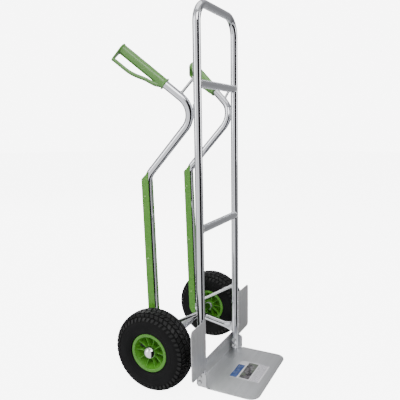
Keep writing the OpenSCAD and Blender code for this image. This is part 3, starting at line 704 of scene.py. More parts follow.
def sided(point, side):
    """The same point on the right (1) or the left (-1) of the truck."""
    return Vector((side * point.x, point.y, point.z))


def belong(made, body, node):
    """Puts a piece on its body, in place of a CAD node if it stands for one."""
    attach(made, body)
    if node:
        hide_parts(node)


SIDES = (("right", 1), ("left", -1))

# %% [markdown]
# ## Frame tubes
# The front frame is one tube bent twice, and a crossbar is a short tube whose ends are cut
# to the uprights' round sides. Each side tube starts pressed flat behind the upright, runs
# under the axle, turns up at the heel, leans forward at the knee and ends in the handle.

# %% Front frame
feet_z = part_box("front_frame")[0].z
frame_top = FRAME_H - TUBE_R
foot = feet_z / math.cos(LEAN)
frame_line = bent_line([upright_point(foot), upright_point(frame_top),
                        upright_point(frame_top, -1), upright_point(foot, -1)],
                       [TOP_BEND_R, TOP_BEND_R])
front_frame = hollow_tube("front_frame_tube", frame_line, Vector((0, 1, 0)), TUBE_R, TUBE_WALL,
                          polished_tube)
belong(front_frame, "frame", "front_frame")
print("front frame faces:", len(front_frame.data.polygons))

# %% Crossbars with shaped ends
BACK = Vector((0, math.cos(LEAN), -math.sin(LEAN)))
UP = Vector((0, math.sin(LEAN), math.cos(LEAN)))
ACROSS = Vector((1, 0, 0))


def crossbar(name, s, sides=48):
    """Tube across the frame. Each end ring lies on the upright's round side."""
    centre = UP * s

    def ring(r, side, reach):
        points = []
        for j in range(sides):
            a = TURN * j / sides
            y, z = r * math.cos(a), r * math.sin(a)
            x = SIDE_X - math.sqrt(TUBE_R ** 2 - y ** 2) - WELD_GAP - reach
            points.append(centre + ACROSS * (side * x) + BACK * y + UP * z)
        return points

    bore = TUBE_R - TUBE_WALL
    skin_r = TUBE_R - 1e-5
    rings = [ring(skin_r, -1, 0), ring(skin_r, -1, 0.02), ring(skin_r, 1, 0.02),
             ring(skin_r, 1, 0), ring(bore, 1, 0), ring(bore, -1, 0)]
    made = skin(name + "_tube", rings, polished_tube, closed=True,
                lengths=[0, 0.02, 0.25, 0.27, 0.275, 0.54, 0.55], round_l=TURN * TUBE_R)
    belong(made, "frame", name)


crossbar("upper_crossbar", UPPER_BAR_Z)
crossbar("middle_crossbar", MIDDLE_BAR_Z)
print("crossbars at", UPPER_BAR_Z, "and", MIDDLE_BAR_Z)

# %% Side tubes with pressed front ends
CRUSH_STEPS = 10
SIDE_TUBE_SIDES = 48
side_corners = [crush_from, heel, knee, contact, handle_end]
for word, side in SIDES:
    line = bent_line([sided(p, side) for p in side_corners],
                     [AXLE_BEND_R, KNEE_BEND_R, CONTACT_BEND_R])
    across = Vector((side, 0, 0))
    up = strut_dir.cross(across)
    lead = []
    for i in range(CRUSH_STEPS):
        k = i / CRUSH_STEPS
        soft = k * k * (3 - 2 * k)
        width = STRUT_FLAT_T + (2 * TUBE_R - STRUT_FLAT_T) * soft
        height = STRUT_FLAT_H + (2 * TUBE_R - STRUT_FLAT_H) * soft
        at = sided(strut_tip + strut_dir * (STRUT_CRUSH_L * k), side)
        ring = oval(at, across, up, width, height, SIDE_TUBE_SIDES)
        if i == 0:
            ring = [Vector((p.x, p.z * math.tan(LEAN) + TUBE_R + WELD_GAP, p.z)) for p in ring]
        lead.append(ring)
    tube = hollow_tube(word + "_bent_side_tube", line, across, TUBE_R, TUBE_WALL, polished_tube,
                       sides=SIDE_TUBE_SIDES, lead=lead)
    belong(tube, "frame", word + "_side_tube")
print("faces of a side tube:", len(tube.data.polygons))

# %% Thin rods and braces
ROD_R, BRACE_R = 0.0045, 0.006
rod_from, rod_to = contact + handle_dir * 0.072, upright_point(CONTACT_Z + 0.108)
brace_from, brace_to = heel + leg_dir * 0.038, upright_point(WHEEL_AT.z + 0.118)
for word, side in SIDES:
    for name, a, b, r in (("handle_rod", rod_from, rod_to, ROD_R),
                          ("leg_brace", brace_from, brace_to, BRACE_R)):
        go = unit(b - a)
        start, stop = a + go * (TUBE_R - 0.003), b - go * (TUBE_R - 0.001)
        bar = solid_bar(f"{word}_{name}_bar", sided(start, side), sided(stop, side), r,
                        drawn_rod, 32)
        belong(bar, "frame", f"{word}_{name}")
print("rod and brace radius:", ROD_R, BRACE_R)

# %% Axle tube
axle_low, axle_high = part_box("axle_tube")
axle_r = (axle_high.z - axle_low.z) / 2
axle_line = [(Vector((x, WHEEL_AT.y, WHEEL_AT.z)), ACROSS) for x in (axle_low.x, axle_high.x)]
axle_tube = hollow_tube("axle_cross_tube", axle_line, Vector((0, 1, 0)), axle_r, 0.0025,
                        polished_tube)
belong(axle_tube, "frame", "axle_tube")
print("tubes done")

# %% [markdown]
# ## Geometry Nodes helpers
# What repeats is grown by Geometry Nodes: weld ripples along a line, fasteners on points,
# blocks round a tyre. Each tree ends in Realize Instances and Set Material, and the result
# is turned into a plain mesh before it becomes a piece.

# %% Running a tree


def node_tree(name, inputs):
    """Empty geometry tree with named inputs. Returns the tree and its two end nodes."""
    tree = bpy.data.node_groups.new(name, "GeometryNodeTree")
    tree.interface.new_socket("Geometry", in_out="INPUT", socket_type="NodeSocketGeometry")
    for label, kind in inputs.items():
        tree.interface.new_socket(label, in_out="INPUT", socket_type="NodeSocket" + kind)
    tree.interface.new_socket("Geometry", in_out="OUTPUT", socket_type="NodeSocketGeometry")
    return tree, tree.nodes.new("NodeGroupInput").outputs, tree.nodes.new("NodeGroupOutput").inputs


def grow(tree, source, values):
    """Runs a tree on a mesh with the named values, and returns the plain mesh."""
    holder = bpy.data.objects.new("grown", source)
    scene.collection.objects.link(holder)
    modifier = holder.modifiers.new("grow", "NODES")
    modifier.node_group = tree
    for item in tree.interface.items_tree:
        if item.in_out == "INPUT" and item.name in values:
            modifier[item.identifier] = values[item.name]
    bpy.context.view_layer.update()
    shaped = holder.evaluated_get(bpy.context.evaluated_depsgraph_get())
    mesh = bpy.data.meshes.new_from_object(shaped)
    holder.modifiers.remove(modifier)
    bpy.data.objects.remove(holder)
    return mesh


def copy_onto(t, points, turn, given, out):
    """Copies the template onto points, turned, and ends the tree with its finish."""
    info = t.add("GeometryNodeObjectInfo", None, Object=given["Template"])
    copies = t.add("GeometryNodeInstanceOnPoints", None, Points=points,
                   Instance=info.outputs["Geometry"], Rotation=turn)
    real = t.add("GeometryNodeRealizeInstances", None, Geometry=copies.outputs[0])
    coat = t.add("GeometryNodeSetMaterial", None, Geometry=real.outputs[0],
                 Material=given["Finish"])
    t.tree.links.new(coat.outputs[0], out["Geometry"])


# %% [markdown]
# ### Fasteners on points
# Rivets, bolts, nuts and washers each sit at known places and face a known way. A point with
# a direction stored on it says both, and the tree copies one shape onto every point.

# %% Tree that copies a template onto points
on_points, given, out = node_tree("fasteners_on_points",
                                  {"Template": "Object", "Finish": "Material"})
t = Tree(on_points)
facing = t.add("GeometryNodeInputNamedAttribute", {"data_type": "FLOAT_VECTOR"}, Name="facing")
turn = t.add("FunctionNodeAlignRotationToVector", {"axis": "Z"},
             Vector=facing.outputs["Attribute"])
copy_onto(t, given["Geometry"], turn.outputs[0], given, out)


def fasten(name, places, shape, material, sharp=35):
    """Copies a template onto (point, direction) places and returns one piece."""
    seed = bpy.data.meshes.new(name + "_places")
    seed.from_pydata([tuple(p) for p, _ in places], [], [])
    layer = seed.attributes.new("facing", "FLOAT_VECTOR", "POINT")
    layer.data.foreach_set("vector", [c for _, d in places for c in d])
    mesh = grow(on_points, seed, {"Template": shape, "Finish": material})
    return placed(name, mesh, material, sharp)


print("geometry tree:", on_points.name)

# %% Tree that lays weld ripples along lines
ripples, given, out = node_tree("weld_ripples", {"Spacing": "Float", "Template": "Object",
                                                "Finish": "Material"})
t = Tree(ripples)
curve = t.add("GeometryNodeMeshToCurve", None, Mesh=given["Geometry"])
even = t.add("GeometryNodeResampleCurve", {"mode": "LENGTH"}, Curve=curve.outputs[0],
             Length=given["Spacing"])
turn = t.add("FunctionNodeAlignRotationToVector", {"axis": "Z"},
             Vector=t.add("GeometryNodeInputTangent").outputs[0])
copy_onto(t, even.outputs[0], turn.outputs[0], given, out)
print("geometry trees:", on_points.name, ripples.name)

# %% [markdown]
# ## Weld beads
# Every joint of the frame is a hand-laid bead: a row of overlapping ripples where two
# tubes meet. The line of a bead is worked out, not drawn: it is where the round side of
# one bar runs into the round side of the other.

# %% Lines where bars meet


def meeting_line(at, along, r, tube_at, tube_dir, tube_r, steps=40):
    """Where a bar's side meets a tube's side, seen from the bar, as a loop of points."""
    e1 = unit(along.orthogonal())
    e2 = along.cross(e1)
    loop = []
    for j in range(steps):
        a = TURN * j / steps
        o = at + e1 * (r * math.cos(a)) + e2 * (r * math.sin(a)) - tube_at
        flat_o = o - tube_dir * o.dot(tube_dir)
        flat_d = along - tube_dir * along.dot(tube_dir)
        b, c = flat_o.dot(flat_d), flat_o.length_squared - tube_r ** 2
        inside = max(b * b - flat_d.length_squared * c, 0.0)
        t = (-b - math.sqrt(inside)) / flat_d.length_squared
        loop.append(o + along * t + tube_at)
    return loop


CROSSING_R = 0.0085      # of the bead round the crossing of axle tube and strut
weld_lines = []          # (points, closed)
for side in (1, -1):
    for s in (UPPER_BAR_Z, MIDDLE_BAR_Z):
        weld_lines.append((meeting_line(UP * s, ACROSS * side, TUBE_R - 2e-4,
                                        upright_point(s, side), UP, TUBE_R), True))
    for a, b, r, tube_at, tube_dir in (
            (rod_from, rod_to, ROD_R, contact, handle_dir),
            (brace_from, brace_to, BRACE_R, heel, leg_dir)):
        middle_at = (a + b) / 2
        to_b, to_a = unit(b - a), unit(a - b)
        for go, on, direction in ((to_b, upright_point(0.5), UP), (to_a, tube_at, tube_dir)):
            loop = meeting_line(middle_at, go, r, on, direction, TUBE_R)
            weld_lines.append(([sided(p, side) for p in loop], True))
    # round the crossing of the axle tube and the strut under it
    ring = []
    for j in range(40):
        a = TURN * j / 40
        x, y = CROSSING_R * math.cos(a), CROSSING_R * math.sin(a)
        ring.append(Vector((side * (SIDE_X + x), under_axle.y + 0.001 + y,
                            WHEEL_AT.z - 0.0004
                            - math.sqrt(axle_r ** 2 - min(abs(y), axle_r) ** 2))))
    weld_lines.append((ring, True))
    # both sides of the pressed tip, up the back of the upright
    for off in (-1, 1):
        x = side * SIDE_X + off * STRUT_FLAT_T / 2
        low, high = strut_tip.z - STRUT_FLAT_H / 2 + 0.001, strut_tip.z + STRUT_FLAT_H / 2 - 0.001
        line = [Vector((x, z * math.tan(LEAN) + TUBE_R, z)) for z in (low, (low + high) / 2, high)]
        weld_lines.append((line, False))
    # where the handle bend touches the upright
    for off in (-1, 1):
        line = []
        for i in range(9):
            z = CONTACT_Z - 0.020 + 0.005 * i
            line.append(Vector((side * SIDE_X + off * 0.0035,
                                z * math.tan(LEAN) + TUBE_R + 1e-4, z)))
        weld_lines.append((line, False))
print("weld lines:", len(weld_lines))

# %% One ripple, and all the beads
RIPPLE_R, RIPPLE_HALF_L, RIPPLE_GAP = 0.0021, 0.0011, 0.0013
ripple_bm = bmesh.new()
bmesh.ops.create_uvsphere(ripple_bm, u_segments=10, v_segments=6, radius=1.0)
bmesh.ops.scale(ripple_bm, vec=(RIPPLE_R, RIPPLE_R, RIPPLE_HALF_L), verts=ripple_bm.verts)
ripple_mesh = bpy.data.meshes.new("ripple")
ripple_bm.to_mesh(ripple_mesh)
ripple_bm.free()
ripple_shape = placed("ripple", ripple_mesh, weld_metal, 80)


def weld_piece(name, lines):
    """One piece with a bead along every line."""
    verts, edges = [], []
    for points, closed in lines:
        base = len(verts)
        verts += [tuple(p) for p in points]
        edges += [(base + i, base + i + 1) for i in range(len(points) - 1)]
        if closed:
            edges.append((base + len(points) - 1, base))
    seed = bpy.data.meshes.new(name + "_lines")
    seed.from_pydata(verts, edges, [])
    mesh = grow(ripples, seed, {"Spacing": RIPPLE_GAP, "Template": ripple_shape,
                                "Finish": weld_metal})
    belong(placed(name, mesh, weld_metal, 80), "frame", None)
    print(name, "faces", len(mesh.polygons))


weld_piece("frame_welds", weld_lines)

# %% [markdown]
# ## Toe plate, wheel guards and label
# The toe plate is one sheet, cut out flat and folded: a flange up at the back and an ear up
# at each side. It is drawn as the middle surface of the sheet with real bend radii, and
# Solidify gives it its thickness. Small bevels take the hardness off the cut edges.

# %% Sheet from middle surfaces
SHEET_EDGE = 0.0004      # bevel on a cut edge


def arc(centre, r, start, stop, steps=8):
    """Points of an arc in a plane, angles in degrees."""
    return [(centre[0] + r * math.cos(math.radians(start + (stop - start) * i / steps)),
             centre[1] + r * math.sin(math.radians(start + (stop - start) * i / steps)))
            for i in range(steps + 1)]


def bevelled(made, width, segments=3, angle=40):
    """Bevels the edges that are sharper than the angle."""
    soften = made.modifiers.new("soften", "BEVEL")
    soften.width, soften.segments, soften.limit_method = width, segments, "ANGLE"
    soften.angle_limit = math.radians(angle)
    return made


def sheet_piece(name, faces, thickness, material):
    """faces are lists of 3-D points. Shared corners are merged and the sheet gets a wall."""
    bm = bmesh.new()
    for points in faces:
        bm.faces.new([bm.verts.new(p) for p in points])
    bmesh.ops.remove_doubles(bm, verts=bm.verts, dist=1e-5)
    bmesh.ops.recalc_face_normals(bm, faces=bm.faces)
    mesh = bpy.data.meshes.new(name)
    bm.to_mesh(mesh)
    bm.free()
    made = placed(name, mesh, material, 30)
    wall = made.modifiers.new("wall", "SOLIDIFY")
    wall.thickness, wall.offset, wall.use_even_offset = thickness, 0.0, True
    return bevelled(made, SHEET_EDGE, 2, 50)

# %% Toe plate, flat and folded
toe_low, toe_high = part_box("toe_plate")
TOE_T, TOE_CORNER_R, FOLD_R, NOTCH = 0.003, 0.034, 0.0045, 0.002
FLANGE_H, FLANGE_CORNER, EAR_H, EAR_REACH, EAR_CORNER = 0.060, 0.006, 0.050, 0.022, 0.012
half_w = toe_high.x
ear_x = half_w - TOE_T / 2
flange_y = toe_high.y - TOE_T / 2
mid_z = TOE_T / 2
x_fold, y_fold = ear_x - FOLD_R, flange_y - FOLD_R
ear_front, ear_back = -EAR_REACH, y_fold - NOTCH
flange_half = x_fold - NOTCH

outline = [(-flange_half, y_fold), (-flange_half, ear_back), (-x_fold, ear_back),
           (-x_fold, ear_front), (-x_fold, ear_front - NOTCH), (-half_w, ear_front - NOTCH)]
outline += arc((-half_w + TOE_CORNER_R, toe_low.y + TOE_CORNER_R), TOE_CORNER_R, 180, 270, 14)
outline += arc((half_w - TOE_CORNER_R, toe_low.y + TOE_CORNER_R), TOE_CORNER_R, 270, 360, 14)
outline += [(half_w, ear_front - NOTCH), (x_fold, ear_front - NOTCH), (x_fold, ear_front),
            (x_fold, ear_back), (flange_half, ear_back), (flange_half, y_fold)]
toe_faces = [[(x, y, mid_z) for x, y in outline]]
FOLD_STEPS = 8
fold = [(FOLD_R * math.sin(math.radians(90 * i / FOLD_STEPS)),
         FOLD_R * (1 - math.cos(math.radians(90 * i / FOLD_STEPS)))) for i in range(FOLD_STEPS + 1)]
for (o0, z0), (o1, z1) in zip(fold, fold[1:]):
    toe_faces.append([(x, y_fold + o, mid_z + z) for x, o, z in (
        (-flange_half, o0, z0), (flange_half, o0, z0),
        (flange_half, o1, z1), (-flange_half, o1, z1))])
    for s in (-1, 1):
        toe_faces.append([(s * (x_fold + o), y, mid_z + z) for o, y, z in (
            (o0, ear_front, z0), (o0, ear_back, z0), (o1, ear_back, z1), (o1, ear_front, z1))])
fold_top = mid_z + FOLD_R
flange_line = [(-flange_half, fold_top), (flange_half, fold_top)]
flange_line += arc((flange_half - FLANGE_CORNER, FLANGE_H - FLANGE_CORNER), FLANGE_CORNER, 0, 90)
flange_line += arc((-flange_half + FLANGE_CORNER, FLANGE_H - FLANGE_CORNER), FLANGE_CORNER, 90, 180)
toe_faces.append([(x, flange_y, z) for x, z in flange_line])
ear_line = [(ear_back, fold_top), (ear_back, EAR_H)]
ear_line += arc((ear_front + EAR_CORNER, EAR_H - EAR_CORNER), EAR_CORNER, 90, 180)
ear_line += [(ear_front, fold_top)]
for s in (-1, 1):
    toe_faces.append([(s * ear_x, y, z) for y, z in ear_line])
toe_plate = sheet_piece("toe_plate_sheet", toe_faces, TOE_T, rolled_sheet)
belong(toe_plate, "frame", "toe_plate")
print("toe plate sheet faces:", len(toe_faces))

# %% [markdown]
# ### Wheel guards
# A guard is a flat plate with two round corners, welded on one edge to the upright's front.
# It is a single face with a wall, and short beads hold it where the upright's side meets it.

# %% Wheel guards
GUARD_T, GUARD_CORNER, GUARD_W, GUARD_H, GUARD_Z = 0.0025, 0.012, 0.100, 0.165, 0.057
for word, side in SIDES:
    inner = SIDE_X - 0.002
    edge_line = [(inner, GUARD_Z), (inner + GUARD_W - GUARD_CORNER, GUARD_Z)]
    edge_line += arc((inner + GUARD_W - GUARD_CORNER, GUARD_Z + GUARD_CORNER), GUARD_CORNER,
                     -90, 0)
    edge_line += arc((inner + GUARD_W - GUARD_CORNER, GUARD_Z + GUARD_H - GUARD_CORNER),
                     GUARD_CORNER, 0, 90)
    edge_line += [(inner, GUARD_Z + GUARD_H)]
    front = -TUBE_R - 0.0001 - GUARD_T / 2
    face = [tuple(ACROSS * (side * x) + BACK * front + UP * z) for x, z in edge_line]
    guard = sheet_piece(word + "_guard_sheet", [face], GUARD_T, guard_sheet)
    belong(guard, "frame", word + "_wheel_guard")

guard_welds = []
for _, side in SIDES:
    for low in (GUARD_Z + 0.012, GUARD_Z + 0.065, GUARD_Z + 0.120):
        for x, front in ((SIDE_X - 0.002, -TUBE_R - 0.0006), (SIDE_X + 0.0045, -TUBE_R + 0.0002)):
            guard_welds.append(([ACROSS * (side * x) + BACK * front + UP * (low + 0.004 * i)
                                 for i in range(9)], False))
weld_piece("guard_welds", guard_welds)
print("guard beads:", len(guard_welds))

# %% [markdown]
# ### Label
# A printed film lies on the toe plate. Its print is made in the shader from bands, noise and
# hatch lines in the film's own plane, so no image is needed and nothing can be read.

# %% Label film
LABEL_W, LABEL_L, LABEL_T = 0.118, 0.104, 0.0004
label_at = middle("label")
corner = 0.003
half_x, half_y = LABEL_W / 2, LABEL_L / 2
label_line = []
for sx, sy, start in ((1, 1, 0), (-1, 1, 90), (-1, -1, 180), (1, -1, 270)):
    label_line += arc((label_at.x + sx * (half_x - corner), label_at.y + sy * (half_y - corner)),
                      corner, start, start + 90, 6)
label_rings = []
for inset, z in ((0.0, TOE_T), (0.0, TOE_T + LABEL_T * 0.7), (0.00015, TOE_T + LABEL_T)):
    label_rings.append([Vector((label_at.x + (x - label_at.x) * (1 - inset / half_x),
                                label_at.y + (y - label_at.y) * (1 - inset / half_y), z))
                        for x, y in label_line])
print("label middle:", label_at)

# %% Label print
printed_film, t, shader, place = finish("printed_film", IOR=1.5)
sheet = t.add("ShaderNodeVectorMath", {"operation": "SUBTRACT"})
t.put(sheet, "#0", place)
sheet.inputs[1].default_value = (label_at.x, label_at.y, 0)
sheet = sheet.outputs[0]
parts = t.add("ShaderNodeSeparateXYZ", None, Vector=sheet)
lx, ly = parts.outputs["X"], parts.outputs["Y"]


def between(value, low, high):
    """1 between low and high, with soft ends."""
    soft = 0.0006
    return t.math("MULTIPLY", t.ramp(value, low - soft, low + soft),
                  t.ramp(value, high - soft, high + soft, 1.0, 0.0))


blobs = t.noise(sheet, 60.0, 3.0, 0.6)
picture = t.mix(t.ramp(blobs, 0.42, 0.58), (0.012, 0.011, 0.014, 1), (0.13, 0.12, 0.13, 1))
picture = t.mix(t.ramp(t.noise(sheet, 33.0, 2.0), 0.5, 0.62), picture, (0.085, 0.105, 0.075, 1))
rows = t.math("SINE", t.math("MULTIPLY", ly, TURN / 0.0042))
dashes = t.ramp(t.noise(t.stretch(sheet, (160, 700, 1)), 1.0, 1.0), 0.42, 0.5)
lines = t.math("MULTIPLY", t.ramp(rows, 0.0, 0.4), dashes)
paper = (0.80, 0.79, 0.82, 1)
ink = t.mix(t.math("MULTIPLY", lines, between(ly, -0.048, -0.018)), paper, (0.13, 0.11, 0.18, 1))
in_picture = t.math("MULTIPLY", between(ly, -0.014, 0.021), between(lx, -0.054, 0.054))
ink = t.mix(in_picture, ink, picture)
in_band = t.math("MULTIPLY", between(ly, 0.027, 0.0515), between(lx, -0.058, 0.030))
band = t.mix(t.ramp(t.noise(sheet, 90.0, 2.0), 0.4, 0.6), (0.016, 0.050, 0.20, 1),
             (0.024, 0.080, 0.29, 1))
ink = t.mix(in_band, ink, band)
worn = use(t, scratches, place, Scale=40.0, Amount=0.9)["Mask"]
ink = t.mix(t.math("MULTIPLY", worn, 0.6), ink, (0.62, 0.62, 0.62, 1))
grime = use(t, smudges, place, Scale=30.0, Amount=0.5)["Mask"]
ink = t.mix(t.math("MULTIPLY", grime, 0.12), ink, (0.40, 0.38, 0.34, 1))
t.tree.links.new(ink, shader.inputs["Base Color"])
t.tree.links.new(t.ramp(grime, 0.0, 1.0, 0.24, 0.42), shader.inputs["Roughness"])
bump(t, shader, t.noise(place, 320.0, 2.0), 0.08, 0.0004)
label = skin("label_film_sheet", label_rings, printed_film)
belong(label, "frame", "label")
print("sheet pieces done")

# %% [markdown]
# ## Skids and rivets
# A skid is a green channel that the leg tube lies in. Its section is a U, so the mesh is a
# thick strip that runs round the U, cut off at a slant at both ends, with bevelled edges.
# The rivet heads are one dome that Geometry Nodes puts on six places of each skid.

# %% Skid channel
SKID_IN, SKID_HALF, SKID_BACK, SKID_REACH = 0.0126, 0.0155, 0.0165, 0.010
leg_l = (knee - heel).length
skid_back = Vector((0, math.cos(LEG_LEAN), -math.sin(LEG_LEAN)))


def skid_point(x, y, z, side):
    """x across the leg, y towards its back, z along it from the knee."""
    return sided(knee + Vector((x, 0, 0)) + skid_back * y + leg_dir * z, side)


def skid_top(y):
    """Height of the slanted upper cut at y."""
    return 0.016 - 0.024 * (y + SKID_REACH) / (SKID_REACH + SKID_BACK)


def skid_bottom(y):
    """Height of the lower cut at y, which steepens behind the leg."""
    if y < 0.006:
        return -leg_l + 0.004 * (y + SKID_REACH) / (0.006 + SKID_REACH)
    return -leg_l + 0.004 + 0.022 * (y - 0.006) / (SKID_BACK - 0.006)


def skid_outer(a, r=0.004):
    """Outside of the channel along a ray at angle a, with round corners of radius r."""
    ca, sa = math.cos(a), math.sin(a)
    reach = min(SKID_HALF / max(abs(ca), 1e-9), SKID_BACK / max(sa, 1e-9))
    x, y = reach * ca, reach * sa
    cx, cy = (SKID_HALF - r) * (1 if ca > 0 else -1), SKID_BACK - r
    if abs(x) > abs(cx) and y > cy:
        b = ca * cx + sa * cy
        reach = b + math.sqrt(max(b * b - (cx * cx + cy * cy - r * r), 0))
        x, y = reach * ca, reach * sa
    return x, y

# %% Stations round the channel
U_STEPS = 40
stations = [((SKID_HALF, y), (SKID_IN, y)) for y in (-SKID_REACH, -0.0075, -0.005, -0.0025)]
for i in range(U_STEPS + 1):
    a = math.pi * i / U_STEPS
    stations.append((skid_outer(a), (SKID_IN * math.cos(a), SKID_IN * math.sin(a))))
stations += [((-x, y), (-q, w)) for (x, y), (q, w) in reversed(stations[:4])]
HEIGHT_CUTS = 24


def skid_ring(outer, inner, side):
    """Loop round the wall at one station, divided along its height."""
    ring = []
    for (x, y), cuts in ((outer, range(HEIGHT_CUTS + 1)), (inner, range(HEIGHT_CUTS, -1, -1))):
        low, high = skid_bottom(y), skid_top(y)
        ring += [skid_point(x, y, low + (high - low) * c / HEIGHT_CUTS, side) for c in cuts]
    return ring


for word, side in SIDES:
    skid = skin(word + "_skid_channel", [skid_ring(o, i, side) for o, i in stations],
                green_plastic)
    bevelled(skid, 0.0008)
    belong(skid, "frame", word + "_skid")
print("leg length:", round(leg_l, 4), "stations:", len(stations))

# %% Rivet heads
RIVET_Z, RIVET_STEP = -0.062, 0.203


def turned(name, profile, material, sides=24, sharp=35):
    """Solid of revolution about Z from (r, z) points, closed at both ends."""
    verts = [(r * math.cos(TURN * j / sides), r * math.sin(TURN * j / sides), z)
             for r, z in profile for j in range(sides)]
    n, faces = sides, []
    for i in range(len(profile) - 1):
        faces += [(i * n + j, i * n + (j + 1) % n, (i + 1) * n + (j + 1) % n, (i + 1) * n + j)
                  for j in range(n)]
    faces += [tuple(range(n)), tuple(range((len(profile) - 1) * n, len(profile) * n))]
    return piece(name, verts, faces, material, sharp)


rivet_shape = turned("rivet", [(0.0030, -0.0006), (0.0035, 0.0), (0.0034, 0.0005),
                               (0.0029, 0.0010), (0.0020, 0.0014), (0.0008, 0.0015)],
                     green_plastic, 16, 60)
for word, side in SIDES:
    places = []
    for i in range(3):
        for face in (-1, 1):
            at = skid_point(face * SKID_HALF, 0.004, RIVET_Z - RIVET_STEP * i, side)
            places.append((at, Vector((face * side, 0, 0))))
    # The rivet heads take the lighter green, a painted highlight.
    rivets = fasten(word + "_rivet_heads", places, rivet_shape, rivet_highlight_plastic, 60)
    belong(rivets, "frame", word + "_skid_rivets")
print("rivets on each skid:", len(places))

# %% [markdown]
# ## Grips
# A grip is one moulding: a sleeve with a flat collar at its front end, an end plate, and a
# knuckle guard that runs parallel to the sleeve and then curves in to meet it. The four
# shapes overlap, and a fine remesh with a little smoothing joins them with soft fillets.

# %% Grip shapes
GRIP_R, GRIP_END, COLLAR_R = TUBE_R + 0.003, GRIP_FROM + GRIP_L, 0.019
GUARD_GAP, GUARD_BAR_T, GUARD_BAR_W, GUARD_TURN = 0.040, 0.010, 0.016, math.radians(14)
GRIP_VOXEL, GRIP_SOFTENING = 0.0009, 16
grip_out = Vector((math.cos(SPLAY), -math.sin(SPLAY), 0))
grip_back = handle_dir.cross(grip_out)


def grip_point(x, y, z, side, turn=0.0):
    """x outwards, y below the handle, z along it, turned about the handle."""
    c, s = math.cos(turn), math.sin(turn)
    x, y = x * c + y * s, -x * s + y * c
    return sided(contact + grip_out * x + grip_back * y + handle_dir * z, side)


print("the knuckle guard's side points down:", grip_back.z < 0)


def grip_ring(r, z, side):
    """Ring of 64 points round the handle."""
    angles = [TURN * j / 64 for j in range(64)]
    return [grip_point(r * math.cos(a), r * math.sin(a), z, side) for a in angles]


def hull_outline(big, small, apart, steps=16):
    """Outline round a large circle at 0 and a small one at y = apart."""
    lean = math.degrees(math.asin((big - small) / apart))
    return (arc((0, 0), big, 180 - lean, 360 + lean, 2 * steps)
            + arc((0, apart), small, lean, 180 - lean, steps))


def smooth_curve(points, steps=10):
    """Smooth line through 2-D points."""
    out = []
    for i in range(len(points) - 1):
        p0, p1 = points[max(i - 1, 0)], points[i]
        p2, p3 = points[i + 1], points[min(i + 2, len(points) - 1)]
        for s in range(steps):
            k = s / steps
            out.append(tuple(0.5 * (2 * b + (c - a) * k + (2 * a - 5 * b + 4 * c - d) * k * k
                                    + (3 * b - a - 3 * c + d) * k ** 3)
                             for a, b, c, d in zip(p0, p1, p2, p3)))
    return out + [points[-1]]

# %% Build the grips
for word, side in SIDES:
    bore, bore_end = TUBE_R + 0.0001, GRIP_END - GRIP_IN_END
    sleeve = skin(word + "_sleeve", [grip_ring(r, z, side) for r, z in (
        (bore, bore_end), (bore, GRIP_FROM), (GRIP_R, GRIP_FROM), (GRIP_R, GRIP_END - 0.002))],
        green_plastic)
    collar = skin(word + "_collar", [grip_ring(r, z, side) for r, z in (
        (bore, GRIP_FROM), (COLLAR_R, GRIP_FROM), (COLLAR_R, GRIP_FROM + 0.0042),
        (bore, GRIP_FROM + 0.0042))], green_plastic, closed=True)
    plate_line = hull_outline(GRIP_R + 0.0015, GUARD_BAR_W / 2,
                              GUARD_GAP - GUARD_BAR_W / 2 + GUARD_BAR_T / 2 + 0.001)
    plate = skin(word + "_end_plate",
                 [[grip_point(x, y, z, side, GUARD_TURN) for x, y in plate_line]
                  for z in (GRIP_END - 0.005, GRIP_END)], green_plastic)
    path = smooth_curve([(GUARD_GAP, GRIP_END - 0.002), (GUARD_GAP, GRIP_END - 0.030),
                         (GUARD_GAP - 0.0004, GRIP_END - 0.060),
                         (GUARD_GAP - 0.005, GRIP_FROM + 0.082),
                         (GUARD_GAP - 0.014, GRIP_FROM + 0.055),
                         (GRIP_R + 0.004, GRIP_FROM + 0.024),
                         (GRIP_R - 0.006, GRIP_FROM + 0.006)], 8)
    rings = []
    for i, (y, z) in enumerate(path):
        (ya, za), (yb, zb) = path[max(i - 1, 0)], path[min(i + 1, len(path) - 1)]
        go = Vector((yb - ya, zb - za)).normalized()
        ny, nz = -go.y, go.x
        ring = []
        for j in range(32):
            a = TURN * j / 32
            c, s = math.cos(a), math.sin(a)
            q = (abs(c) ** 5 + abs(s) ** 5) ** -0.2        # a rectangle with round corners
            across, thick = GUARD_BAR_W / 2 * c * q, GUARD_BAR_T / 2 * s * q
            ring.append(grip_point(across, y + ny * thick, z + nz * thick, side, GUARD_TURN))
        rings.append(ring)
    guard_bar = skin(word + "_guard_bar", rings, green_plastic)
    joined = bmesh.new()
    for shape in (sleeve, collar, plate, guard_bar):
        joined.from_mesh(shape.data)
        bpy.data.objects.remove(shape)
    mesh = bpy.data.meshes.new(word + "_moulded_grip")
    joined.to_mesh(mesh)
    joined.free()
    holder = bpy.data.objects.new("grip_blank", mesh)
    scene.collection.objects.link(holder)
    blend = holder.modifiers.new("join", "REMESH")
    blend.mode, blend.voxel_size, blend.use_smooth_shade = "VOXEL", GRIP_VOXEL, True
    even = holder.modifiers.new("even", "SMOOTH")
    even.factor, even.iterations = 0.5, GRIP_SOFTENING
    shaped = holder.evaluated_get(bpy.context.evaluated_depsgraph_get())
    grip_mesh = bpy.data.meshes.new_from_object(shaped)
    holder.modifiers.clear()
    bpy.data.objects.remove(holder)
    # The grip takes the paler green with the painted sky reflection.
    grip = placed(word + "_moulded_grip", grip_mesh, grip_sky_reflection_plastic, 70)
    belong(grip, "frame", word + "_grip")
    print(word, "grip faces", len(grip_mesh.polygons))

# %% [markdown]
# ## Foot bolts, nuts and washers
# Each upright is bolted to the toe plate's ear with two hex bolts. The bolt, the nut and the
# washer are each drawn once, with the chamfers that real ones have, and copied onto the four
# bolt places.

